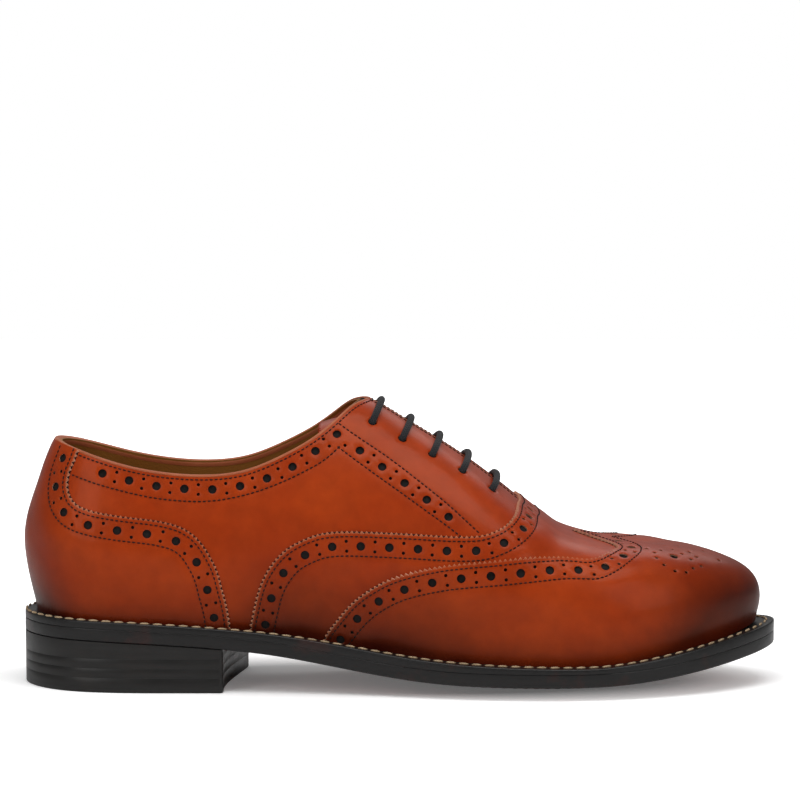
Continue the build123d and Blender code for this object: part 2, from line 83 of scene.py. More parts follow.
STITCH_INSET = [(-152.4, .55), (-130, 1.0), (-95, 1.3), (-60, 1.7), (-20, 2.4), (30, 3.0), (146, 3.3)]
STATIONS = [-152.4, -120, -85, -45, -5, 30, 65, 100, 130, 146.3]
WIDTH_SHARES = [[.865, .93, .93, .90, .93, .96, .97, .97, .97, .975],
                [.97, 1.04, 1.05, 1.05, 1.05, 1.04, 1.03, 1.03, 1.03, 1.03],
                [1.065, 1.05, 1.02, 1.04, 1.04, 1.00, .98, .98, .99, .99],
                [.84, .86, .86, .92, .84, .80, .78, .78, .77, .74],
                [.60, .62, .62, .55, .42, .42, .42, .42, .38, .32],
                [0] * 10]
HEIGHT_SHARES = [[0] * 10,
                 [.15, .14, .14, .15, .18, .24, .28, .28, .28, .24],
                 [.33, .32, .34, .42, .50, .58, .65, .65, .62, .56],
                 [.53, .54, .58, .70, .83, .90, .93, .93, .89, .83],
                 [.80, .82, .84, .93, .985, 1.0, 1.0, 1.0, 1.0, 1.0],
                 [1.0] * 10]
KNOTS = [0, 0, 0, 0, 1 / 3, 2 / 3, 1, 1, 1, 1]
HEEL_SPINE, TOE_SPINE = -118.0, 104.0
OUTSOLE, TOP_PIECE, LIFTS = 5.3, 6.0, 3
BREAST = [(-66.5, -60), (-70.7, -33), (-62.5, 31), (-59, 60)]
HEM = -0.04                     # height share where the leather ends, tucked in beside the welt

# ---- pattern lines: (x, z) seen from the side, and (x, across) seen from above -------------------
TOPLINE = [(-150, 101.5), (-139.5, 99.3), (-128, 96), (-111, 91), (-95, 88), (-78, 87), (-62, 89),
           (-46, 95.5), (-33, 103), (-25, 109.3), (-20.5, 112.9), (-16.5, 114.9), (-12, 115.8), (-8, 116.6)]
COUNTER_LINE = [(-128, 97.5), (-130, 92), (-132, 87), (-132.4, 81), (-130.2, 76.5), (-125, 73.8),
                (-117, 72.2), (-108, 71), (-99, 70), (-91, 68.4), (-85, 66), (-80, 62), (-75.5, 55.5),
                (-72.5, 49), (-70.7, 42), (-69, 35), (-68, 28), (-67.3, 22)]
VAMP_SIDE = [(-61.5, 19), (-60, 28), (-58.3, 36), (-56, 44), (-51, 53), (-45, 59), (-39, 62.4),
             (-32, 65), (-25, 66), (-16, 66.2), (-7, 66), (6, 65.6), (18, 65), (27, 64.8), (34, 65.4),
             (39.5, 67.2)]
VAMP_TOP = [(47.0, 15), (47.8, 8), (48, 0)]
WING_SIDE = [(-32, 19), (-29, 25), (-25, 30.5), (-21, 35.5), (-15, 41), (-9, 45), (-2, 48.4),
             (7, 51.2), (15, 53), (23, 54.2), (36, 55.3), (46, 56), (55, 56.2), (65, 55.6), (73, 54.4)]
WING_TOP = [(84.5, 26), (87.0, 20), (84.5, 13.5), (78.5, 7), (69, 0)]
FACING_HIGH = [(-24, 107), (-18, 103), (-7, 96), (7, 86), (20, 76), (30.5, 66.8), (33, 64.6)]
FACING_LOW = [(-24.5, 98.3), (-14, 91), (0, 81.5), (13, 72.6), (23, 65.5), (25.5, 63.5)]
FACING_HOLES = [(-16, 97.2), (-7, 91), (2.3, 84.6), (11, 78.4), (19.3, 72.2)]
COLLAR_HOLES = [(-119, 87.8), (-108.5, 85.2), (-97.5, 83), (-86.3, 81.9), (-75, 81.7), (-63.5, 83.2),
                (-52.6, 86.4), (-42.6, 91), (-33.7, 97), (-25.2, 103.4)]
COLLAR_LOW = [(-131, 86.6), (-119, 83), (-111, 81), (-103, 79.2), (-95, 77.9), (-86, 77.1), (-78, 77),
              (-70, 77.9), (-62, 79.6), (-54, 82.1), (-46, 85.3), (-38, 89.1), (-29, 94.4), (-24.5, 98.3)]
MEDALLION_BIG = [(110, 22)]
MEDALLION = [(102, 23), (102.6, 27), (105.5, 29.8), (110, 30.6), (114.6, 29), (117.6, 25.8),
             (121, 22.6), (117, 20.8), (113.5, 17.6), (119.5, 16.8), (116.8, 13.2), (129, 11.4),
             (105, 18.6), (99, 19.4), (96.4, 15.2), (94.8, 10.4), (110, 13.4), (107, 8.6), (123, 6),
             (113, 4.6)]
EYELETS = [(-11, 17.3), (1, 19.3), (13, 21), (25, 22), (37, 21.5)]
EYELET_HOLE = 3.6
FACING_EDGE = 1.2

TONGUE_TOP = [(-33, 105.2), (-24, 107.6), (-14, 107.0), (0, 100.6), (12, 93.4), (24, 85.4),
              (36, 76.8), (45, 70.3), (60, 60.0)]
TONGUE_HALF = [(-33, 15.5), (-20, 17), (20, 17), (60, 16.5)]
TONGUE_ROUND = [(-33, .021), (-11, .026), (1, .0205), (15, .0125), (28, .0078), (42, .006), (60, .005)]

# ---- the lace's route, (x, distance from the middle, z), as in the CAD source --------------------
LACE = 2.8
LACE_STEPS = [[(-12.2, 14.4, 104.4), (-10.5, 18.5, 109.2), (-8.2, 9.6, 113.5), (-7.1, 0, 115.2)],
              [(-0.5, 16.6, 97.8), (1.6, 20.4, 102.7), (4.1, 9.4, 106.8), (4.8, 0, 107.7)],
              [(11.4, 18.7, 91.4), (13.7, 22.0, 96.5), (15.9, 9.3, 100.0), (16.4, 0, 100.6)],
              [(22.9, 20.3, 84.9), (25.9, 22.8, 90.1), (27.6, 9.2, 92.5), (27.9, 0, 92.9)],
              [(34.4, 20.4, 77.4), (38.1, 21.9, 82.6), (39.2, 9.1, 83.9), (39.4, 0, 84.1)]]
LACE_START = [(24.5, -26.0, 23.5), (11, -24.8, 24.3), (-1, -26.2, 29.5), (-11, -29, 37.5),
              (-17.5, -31.2, 48), (-20, -31.6, 62), (-19.5, -29.6, 76), (-17.5, -25.4, 88.5),
              (-14.6, -19.7, 98.6)]
LACE_END = [(34, 26.3, 72), (33, 30.6, 60), (28.5, 31.6, 47), (20.5, 29.5, 36.5), (10, 26, 29.5),
            (-2.5, 22.5, 26.2), (-16, 19.5, 28.2)]


class Side(Enum):
    """The two sides of the shoe; the value is the sign of y."""

    OUTER = -1
    INNER = 1


class Curve:
    """A natural cubic spline through a few (x, y) points, held level beyond its ends."""

    def __init__(self, points: Pairs) -> None:
        """Solves the spline.

        Args:
            points: (x, y) pairs in any order.
        """
        p = np.array(sorted(points), float)
        self.x, self.y = p[:, 0], p[:, 1]
        count, step = len(p), np.diff(p[:, 0])
        matrix, right = np.eye(count), np.zeros(count)
        for i in range(1, count - 1):
            matrix[i, i - 1:i + 2] = step[i - 1], 2 * (step[i - 1] + step[i]), step[i]
            rise = (self.y[i + 1] - self.y[i]) / step[i]
            right[i] = 6 * (rise - (self.y[i] - self.y[i - 1]) / step[i - 1])
        self.bend = np.linalg.solve(matrix, right)

    def __call__(self, x: Array | float) -> Array:
        """Value of the spline at x.

        Args:
            x: one value or many.

        Returns:
            The heights there.
        """
        x = np.clip(np.asarray(x, float), self.x[0], self.x[-1])
        i = np.clip(np.searchsorted(self.x, x) - 1, 0, len(self.x) - 2)
        h = self.x[i + 1] - self.x[i]
        a, b = (self.x[i + 1] - x) / h, (x - self.x[i]) / h
        sag = (a**3 - a) * self.bend[i] + (b**3 - b) * self.bend[i + 1]
        return a * self.y[i] + b * self.y[i + 1] + sag * h * h / 6


def eased(share: Array | float) -> Array:
    """0 to 1 with level ends."""
    share = np.clip(share, 0, 1)
    return share * share * (3 - 2 * share)


def unit(v: Array) -> Array:
    """Vectors scaled to length 1."""
    return v / np.maximum(np.linalg.norm(v, axis=-1, keepdims=True), 1e-12)


def shares_along(points: Array) -> Array:
    """Share of the way along the points by chord length."""
    way = np.r_[0, np.cumsum(np.linalg.norm(np.diff(points, axis=0), axis=1))]
    return way / way[-1]


def through(points: Array, count: int) -> Array:
    """Evenly spread points on a smooth curve through a few points.

    Args:
        points: control points, N by 2 or 3.
        count: how many points come back.

    Returns:
        The points, count by 2 or 3.
    """
    share = shares_along(points)
    u = np.linspace(0, 1, count * 6)
    dense = np.stack([Curve(list(zip(share, points[:, k])))(u) for k in range(points.shape[1])], -1)
    return np.stack([np.interp(np.linspace(0, 1, count), shares_along(dense), dense[:, k])
                     for k in range(points.shape[1])], -1)


def nearest_gap(points: Array, targets: Array) -> Array:
    """Distance from each point to the nearest target.

    Args:
        points: N by 3.
        targets: M by 3.

    Returns:
        N distances.
    """
    found = np.empty(len(points))
    for start in range(0, len(points), 800):
        block = points[start:start + 800]
        found[start:start + 800] = np.sqrt(((block[:, None] - targets[None]) ** 2).sum(-1).min(1))
    return found


class Last:
    """The foot form as a function of an outline share s and a height share t."""

    FLAT_SCALE = 2.2                # how far the flattened pattern spreads
    SKIRT = 60.0                    # drop in millimetres for a height share of -1
    GRID_S, GRID_T = 241, 61
    OVERLAP = 14                    # outline points repeated past the toe, so that the spline closes
    SPINE_EASE = 9.0                # millimetres over which the ridge's ends are eased
    SHARED_FROM, SHARED_SPAN = .35, .5
    TOE_FROM, TOE_EASE, TOE_DROP = 105.0, 4.0, .02
    DELTA = 1e-4                    # step of share for slopes
    STEP_S, STEP_T = .03, .08       # longest step of share while settling

    def __init__(self) -> None:
        """Prepares the splines and a coarse grid for finding places."""
        outer, inner = np.array(OUTER_SIDE, float), np.array(INNER_SIDE, float)
        s = np.r_[-shares_along(outer)[::-1], shares_along(inner)[1:]]
        p = np.r_[outer[::-1], inner[1:]]
        over = self.OVERLAP
        s = np.r_[s[-over - 1:-1] - 2, s, s[1:over + 1] + 2]
        p = np.r_[p[-over - 1:-1], p, p[1:over + 1]]
        self._along, self._across = Curve(list(zip(s, p[:, 0]))), Curve(list(zip(s, p[:, 1])))
        self._foot, self._ridge = Curve(FOOT), Curve(RIDGE)
        self._widths = [Curve(list(zip(STATIONS, row))) for row in WIDTH_SHARES]
        self._heights = [Curve(list(zip(STATIONS, row))) for row in HEIGHT_SHARES]
        self._grids = {}
        for side in Side:
            gs, gt = np.meshgrid(side.value * np.linspace(0, 1, self.GRID_S),
                                 np.linspace(-.05, 1, self.GRID_T), indexing="ij")
            self._grids[side] = (gs.ravel(), gt.ravel(), self.point(gs, gt).reshape(-1, 3))

    def x(self, s: Array) -> Array:
        """Plan place along the shoe."""
        return self._along((s + 1) % 2 - 1)

    def y(self, s: Array) -> Array:
        """Plan place across the shoe."""
        return self._across((s + 1) % 2 - 1)

    def pivot(self, s: Array) -> Array:
        """Where the ridge lies for this outline share.

        Args:
            s: outline shares.

        Returns:
            Places along the shoe.
        """
        x = (self.x(s) + self.x(-s)) / 2
        ease = self.SPINE_EASE
        up = HEEL_SPINE + ease * np.logaddexp(0, (x - HEEL_SPINE) / ease)
        return TOE_SPINE - ease * np.logaddexp(0, (TOE_SPINE - up) / ease)

    @staticmethod
    def _weights(t: Array) -> list[Array]:
        """The six cubic B-spline weights of a section.

        Args:
            t: height shares.

        Returns:
            One array for each control point.
        """
        t = np.clip(np.asarray(t, float), 0, 1 - 1e-12)
        weights = [((KNOTS[i] <= t) & (t < KNOTS[i + 1])).astype(float) for i in range(9)]
        for k in range(1, 4):
            raised = []
            for i in range(9 - k):
                value = 0 * t
                low, high, after = KNOTS[i], KNOTS[i + k], KNOTS[i + k + 1]
                if high > low:
                    value = value + (t - low) / (high - low) * weights[i]
                if after > KNOTS[i + 1]:
                    value = value + (after - t) / (after - KNOTS[i + 1]) * weights[i + 1]
                raised.append(value)
            weights = raised
        return weights

    def point(self, s: Array, t: Array) -> Array:
        """Point of the form; below t = 0 it goes straight down as a skirt.

        Args:
            s: outline share, 0 heel, -1 or 1 toe, below 0 on the outer side.
            t: height share, 0 foot, 1 ridge.

        Returns:
            Points in millimetres.
        """
        s, t = np.broadcast_arrays(np.asarray(s, float), np.asarray(t, float))
        x, y, pivot = self.x(s), self.y(s), self.pivot(s)
        weights = self._weights(t)
        a = sum(w * curve(x) for w, curve in zip(weights, self._widths))
        b = sum(w * curve(x) for w, curve in zip(weights, self._heights))
        foot, ridge = self._foot(x), self._ridge(pivot)
        level = eased((t - self.SHARED_FROM) / self.SHARED_SPAN)
        y = y * (1 - level) + (y - self.y(-s)) / 2 * level
        px = pivot + a * (x - pivot)
        past = np.logaddexp(0, (px - self.TOE_FROM) / self.TOE_EASE)
        tilt = self.TOE_DROP * self.TOE_EASE * past * eased((t - .25) / .5)
        z = foot + (ridge - foot) * b + np.minimum(t, 0) * self.SKIRT - tilt
        return np.stack([px, a * y, z], -1)

    def outward(self, s: Array, t: Array) -> Array:
        """Unit direction square to the form, pointing outside; both sides agree at the ridge.

        Args:
            s: outline shares.
            t: height shares.

        Returns:
            Directions of length 1.
        """
        s, t = np.broadcast_arrays(np.asarray(s, float), np.asarray(t, float))

        def square(s: Array, t: Array) -> Array:
            """Outward direction of one side."""
            t, d = np.clip(t, 0.002, .985), self.DELTA
            along = self.point(s + d, t) - self.point(s - d, t)
            return unit(-np.cross(along, self.point(s, t + d) - self.point(s, t - d)))

        shared = eased((t - .85) / .15)[..., None] / 2
        return unit(square(s, t) * (1 - shared) + square(-s, t) * shared)

    def lifted(self, s: Array, t: Array, height: Array | float) -> Array:
        """Point at a height above the form's surface."""
        return self.point(s, t) + self.outward(s, t) * np.asarray(height, float)[..., None]

    def flat(self, s: Array, t: Array) -> Array:
        """Place on the flattened pattern, continuous over the ridge and round the toe."""
        reach = (1 - t) * self.FLAT_SCALE
        pivot = self.pivot(s)
        return np.stack([pivot + (self.x(s) - pivot) * reach, self.y(s) * reach], -1)

    def settle(self, s: Array, t: Array, target: Array, axes: Sequence[int] = (0, 1, 2),
               rounds: int = 7) -> tuple[Array, Array]:
        """Moves shares until their points are nearest to the targets.

        Args:
            s: outline shares to start from.
            t: height shares to start from.
            target: points in millimetres, N by 3.
            axes: which coordinates have to match.
            rounds: steps taken.

        Returns:
            The shares found.
        """
        s, t = np.array(s, float), np.array(t, float)
        keep, d = list(axes), self.DELTA
        for _ in range(rounds):
            here = self.point(s, t)[:, keep]
            ds = (self.point(s + d, t)[:, keep] - self.point(s - d, t)[:, keep]) / (2 * d)
            dt = (self.point(s, t + d)[:, keep] - self.point(s, t - d)[:, keep]) / (2 * d)
            gap = target[:, keep] - here
            a, b, c = (ds * ds).sum(1), (ds * dt).sum(1), (dt * dt).sum(1)
            e, f = (ds * gap).sum(1), (dt * gap).sum(1)
            det = np.maximum(a * c - b * b, 1e-3)
            s = s + np.clip((c * e - b * f) / det, -self.STEP_S, self.STEP_S)
            t = t + np.clip((a * f - b * e) / det, -self.STEP_T, self.STEP_T)
            over = t > 1
            t, s = np.where(over, 2 - t, t), np.where(over, -s, s)
        return s, t

    def find(self, target: Array, side: Side, axes: Sequence[int]) -> tuple[Array, Array]:
        """Shares of the points of one side that match the targets in these coordinates.

        Args:
            target: points, N by 3; coordinates not in axes are ignored.
            side: which side of the shoe.
            axes: coordinates to match.

        Returns:
            The shares found.
        """
        gs, gt, gp = self._grids[side]
        keep = list(axes)
        pick = ((target[:, None][:, :, keep] - gp[None][:, :, keep]) ** 2).sum(-1).argmin(1)
        return self.settle(gs[pick], gt[pick], target, axes)

    def ground(self, start: float, end: float, step: float = 2.4) -> tuple[Array, Array]:
        """Shares along the bottom edge of the leather between two outline shares.

        Args:
            start: first outline share.
            end: last outline share.
            step: distance between points.

        Returns:
            Outline and height shares.
        """
        many = np.linspace(start, end, 400)
        way = shares_along(self.point(many, 0 * many))
        total = np.linalg.norm(np.diff(self.point(many, 0 * many), axis=0), axis=1).sum()
        s = np.interp(np.linspace(0, 1, max(int(total / step), 3)), way, many)
        return s, 0 * s + HEM

    def rim(self, margin: Callable[[Array], Array], count: int = 700) -> Array:
        """Plan outline moved outward by margin(x), from toe round the outer side, heel and inner side.

        Args:
            margin: how far out, for places along the shoe.
            count: how many points.

        Returns:
            Points, count by 2.
        """
        s = np.linspace(-1, 1, count, endpoint=False)
        d = self.DELTA
        dx, dy = self.x(s + d) - self.x(s - d), self.y(s + d) - self.y(s - d)
        size = np.hypot(dx, dy)
        out = margin(self.x(s))
        return np.stack([self.x(s) - out * dy / size, self.y(s) + out * dx / size], -1)


LAST = Last()


@dataclass
class Seam:
    """A line on the last, as shares; its points are about a millimetre apart."""

    s: Array
    t: Array
    STRIDE: ClassVar[float] = 2.5       # longest single move over the curved surface
    SLACK: ClassVar[float] = .12        # how much nearer a moved point may lie

    @property
    def points(self) -> Array:
        """Points in millimetres."""
        return LAST.point(self.s, self.t)

    @property
    def length(self) -> float:
        """Length in millimetres."""
        return float(np.linalg.norm(np.diff(self.points, axis=0), axis=1).sum())

    def at(self, shares: Array) -> "Seam":
        """The seam at these shares of its length.

        Args:
            shares: shares of the length, 0 to 1.

        Returns:
            The seam through those points.
        """
        p, way = self.points, shares_along(self.points)
        target = np.stack([np.interp(shares, way, p[:, k]) for k in range(3)], -1)
        pick = np.clip(np.searchsorted(way, shares), 0, len(way) - 1)
        s, t = LAST.settle(self.s[pick], self.t[pick], target)
        return Seam(s, t)

    def even(self, pitch: float) -> "Seam":
        """The seam resampled to about this pitch."""
        return self.at(np.linspace(0, 1, max(int(round(self.length / pitch)), 2) + 1))

    def across(self) -> Array:
        """Unit direction in the surface, to the right of the seam's run seen from outside."""
        p = self.points
        return unit(np.cross(unit(np.gradient(p, axis=0)), LAST.outward(self.s, self.t)))

    def moved(self, distance: float | Array, clean: bool = True, hold: bool = False) -> "Seam":
        """The seam moved sideways over the surface.

        Args:
            distance: how far, to the right of its run, for the whole seam or for each point.
            clean: leave out places that fold back nearer than the distance.
            hold: keep the count, and draw folded places onto the line between their neighbours.

        Returns:
            The moved seam.
        """
        steps = max(int(np.ceil(np.max(np.abs(distance)) / self.STRIDE)), 1)
        here = self
        for step in range(steps):
            part = np.asarray(distance, float) / steps * np.ones(len(here.s))
            target = here.points + here.across() * part[:, None]
            here = Seam(*LAST.settle(here.s, here.t, target, rounds=4))
            if np.ndim(distance) == 0 and (clean or hold):
                done = abs(distance) * (step + 1) / steps
                good = nearest_gap(here.points, self.points) > done - self.SLACK
                if hold:
                    here = here.drawn_over(good)
                else:
                    here = here.kept(good)
        return here

    def drawn_over(self, good: Array) -> "Seam":
        """The seam with its bad points spread between the good ones on both sides.

        Args:
            good: True for each point that stays.

        Returns:
            The mended seam.
        """
        if good.all() or good.sum() < 3:
            return self
        order, kept, p = np.arange(len(self.s)), np.flatnonzero(good), self.points
        target = np.stack([np.interp(order, kept, p[kept, k]) for k in range(3)], -1)
        near = kept[np.abs(order[:, None] - kept[None]).argmin(1)]
        return Seam(*LAST.settle(self.s[near], self.t[near], target))

    def raised(self, height: float | Array) -> Array:
        """Points above the surface."""
        return LAST.lifted(self.s, self.t, np.asarray(height, float) * np.ones(len(self.s)))

    def kept(self, good: Array) -> "Seam":
        """The seam's points that are marked."""
        return Seam(self.s[good], self.t[good])

    def plus(self, other: "Seam") -> "Seam":
        """This seam followed by another."""
        return Seam(np.r_[self.s, other.s], np.r_[self.t, other.t])

    def back(self) -> "Seam":
        """The seam run the other way."""
        return Seam(self.s[::-1], self.t[::-1])

    def between(self, start: float, end: float) -> "Seam":
        """A part of the seam by shares of its length."""
        return self.at(np.linspace(start, end, max(int(self.length * (end - start)), 3)))


def hem(start: float, end: float) -> Seam:
    """The leather's lower edge between two outline shares, without its ends."""
    s, t = LAST.ground(start, end)
    return Seam(s[1:-1], t[1:-1])


def side_line(points: Pairs, side: Side, count: int) -> Seam:
    """A seam drawn in side view.

    Args:
        points: (x, z) points.
        side: which side of the shoe.
        count: points on the seam.

    Returns:
        The seam.
    """
    line = through(np.array(points, float), count)
    target = np.stack([line[:, 0], 0 * line[:, 0], line[:, 1]], -1)
    return Seam(*LAST.find(target, side, (0, 2)))


def plan_line(points: Pairs, side: Side) -> Seam:
    """A seam's few points given from above, as (x, distance from the middle).

    Args:
        points: (x, distance from the middle) points.
        side: which side of the shoe.

    Returns:
        The seam, with as many points.
    """
    p = np.array(points, float)
    target = np.stack([p[:, 0], side.value * p[:, 1], 0 * p[:, 0]], -1)
    gs, gt, gp = LAST._grids[side]
    high = gt > .5
    pick = ((target[:, None, :2] - gp[None, high, :2]) ** 2).sum(-1).argmin(1)
    return Seam(*LAST.settle(gs[high][pick], gt[high][pick], target, (0, 1)))


def saddle(side_points: Pairs, top_points: Pairs) -> Seam:
    """A seam from the welt on the outer side over the instep to the welt on the inner side.

    Args:
        side_points: (x, z) points from the welt up.
        top_points: (x, distance from the middle) points to the ridge.

    Returns:
        The seam at about one point a millimetre.
    """
    halves = []
    for side in Side:
        low_part = side_line(side_points, side, 3 * len(side_points))
        top_part = plan_line(top_points, side)
        some = low_part.plus(top_part)
        curve = through(some.points, 260)
        pick = ((curve[:, None] - some.points[None]) ** 2).sum(-1).argmin(1)
        s, t = LAST.settle(some.s[pick], some.t[pick], curve)
        keep = (t > HEM + .004) & (side.value * LAST.point(s, t)[:, 1] > -.02)
        s, t = s[keep], t[keep]
        halves.append(Seam(np.r_[s[0], s], np.r_[HEM, t]))
    return halves[0].plus(halves[1].back()).even(1.0)


def collar_line(side: Side) -> Seam:
    """The top line from the heel's middle to the top of the facing on one side.

    Args:
        side: which side of the shoe.

    Returns:
        The seam at a point a millimetre.
    """
    line = Curve(TOPLINE)
    s = side.value * np.linspace(0, .62, 500)
    t_grid = np.linspace(.3, 1, 400)
    p = LAST.point(s[:, None], t_grid[None])
    above = p[..., 2] - line(p[..., 0]) > 0
    found = above.any(1)
    i = above.argmax(1)
    s, i = s[found], np.maximum(i[found], 1)
    rows = np.arange(len(p))[found]
    before, after = (p[rows, k, 2] - line(p[rows, k, 0]) for k in (i - 1, i))
    share = -before / np.maximum(after - before, 1e-9)
    t = t_grid[i - 1] + share * (t_grid[1] - t_grid[0])
    y = side.value * LAST.point(s, t)[:, 1]
    reached = np.argmax((y < FACING_EDGE) & (s * side.value > .2)) or len(s)
    return Seam(s[:reached], t[:reached]).even(1.0)


# ---- meshes ------------------------------------------------------------------------------------
def mesh_object(name: str, points: Array, faces: Sequence[Sequence[int]],
                finishes: Sequence[Material]) -> Object:
    """A mesh object at the origin.

    Args:
        name: piece name.
        points: vertices in millimetres.
        faces: vertex indices of each face.
        finishes: materials, in slot order.

    Returns:
        The object, linked to the scene.
    """
    mesh = bpy.data.meshes.new(name)
    mesh.from_pydata((np.asarray(points) * MM).tolist(), [], [tuple(int(i) for i in f) for f in faces])
    mesh.validate()
    for finish in finishes:
        mesh.materials.append(finish)
    made = bpy.data.objects.new(name, mesh)
    bpy.context.scene.collection.objects.link(made)
    return made


def smooth(mesh: Mesh, degrees: float = 38.0) -> None:
    """Smooth shading with sharp edges kept past an angle."""
    mesh.shade_smooth()
    mesh.set_sharp_from_angle(angle=math.radians(degrees))


def applied(made: Object) -> Object:
    """Turns an object with modifiers into a plain mesh.

    Args:
        made: object with modifiers.

    Returns:
        The same object, without them.
    """
    graph = bpy.context.evaluated_depsgraph_get()
    mesh = bpy.data.meshes.new_from_object(made.evaluated_get(graph))
    mesh.name = made.name
    old = made.data
    made.modifiers.clear()
    made.data = mesh
    bpy.data.meshes.remove(old)
    return made


def outward_faces(mesh: Mesh) -> None:
    """Makes a closed mesh's faces point outside.

    Args:
        mesh: closed mesh, changed in place.
    """
    work = bmesh.new()
    work.from_mesh(mesh)
    bmesh.ops.remove_doubles(work, verts=work.verts, dist=1e-6)
    bmesh.ops.recalc_face_normals(work, faces=work.faces)
    work.to_mesh(mesh)
    work.free()


def ring_faces(rows: int, count: int, closed: bool = True) -> list[tuple[int, int, int, int]]:
    """Faces of a loft of rows with count points each.

    Args:
        rows: how many rows.
        count: points in a row.
        closed: join each row's end to its start.

    Returns:
        Vertex numbers of each face.
    """
    last = count if closed else count - 1
    pairs = [(i, (i + 1) % count) for i in range(last)]
    return [(r + i, r + j, r + count + j, r + count + i)
            for r in range(0, (rows - 1) * count, count) for i, j in pairs]


def paint(made: Object, name: str, values: Array) -> None:
    """Writes one number per vertex as an attribute."""
    layer = made.data.attributes.new(name, "FLOAT", "POINT")
    layer.data.foreach_set("value", np.asarray(values, np.float32))


def inside_polygon(points: Array, polygon: Array) -> Array:
    """Which flat points lie inside a flat polygon.

    Args:
        points: N by 2.
        polygon: its corners, M by 2.

    Returns:
        True for each point inside.
    """
    x, y = points[:, 0], points[:, 1]
    inside = np.zeros(len(points), bool)
    for (x0, y0), (x1, y1) in zip(polygon, np.roll(polygon, -1, 0)):
        hit = (y0 > y) != (y1 > y)
        if y0 != y1:
            inside ^= hit & (x < (x1 - x0) * (y - y0) / (y1 - y0) + x0)
    return inside


def triangles(flat: Array, edges: Sequence[tuple[int, int]]) -> Array:
    """Flat triangles between points that keep the given edges.

    Args:
        flat: points, N by 2.
        edges: pairs of point numbers.

    Returns:
        Point numbers, three for each triangle.
    """
    _, _, faces, origin, _, _ = delaunay_2d_cdt([Vector(p) for p in flat], edges, [], 0, 1e-5)
    back = np.array([o[0] if o else -1 for o in origin])
    tri = back[np.array(faces)]
    return tri[(tri >= 0).all(1)]


def level(points: Array) -> Array:
    """The points' places on the floor, as N by 3."""
    return np.c_[points[:, :2], 0 * points[:, 0]]


@dataclass
class Punch:
    """A round hole in the leather."""

    s: float
    t: float
    radius: float

    @property
    def steps(self) -> int:
        """Corners of its outline."""
        return 18 if self.radius > 1.5 else 12 if self.radius > 1 else 9

    def ring(self, radius: float, count: int) -> Seam:
        """Points around the hole on the last.

        Args:
            radius: of the ring.
            count: how many points.

        Returns:
            The ring.
        """
        centre = LAST.point(self.s, self.t)
        normal = LAST.outward(self.s, self.t)
        one = unit(np.cross(normal, [0.3, 0.9, 0.1]))
        two = np.cross(normal, one)
        angle = np.linspace(0, 2 * np.pi, count, endpoint=False)[:, None]
        target = centre + radius * (np.cos(angle) * one + np.sin(angle) * two)
        return Seam(*LAST.settle(np.full(count, self.s), np.full(count, self.t), target, rounds=5))


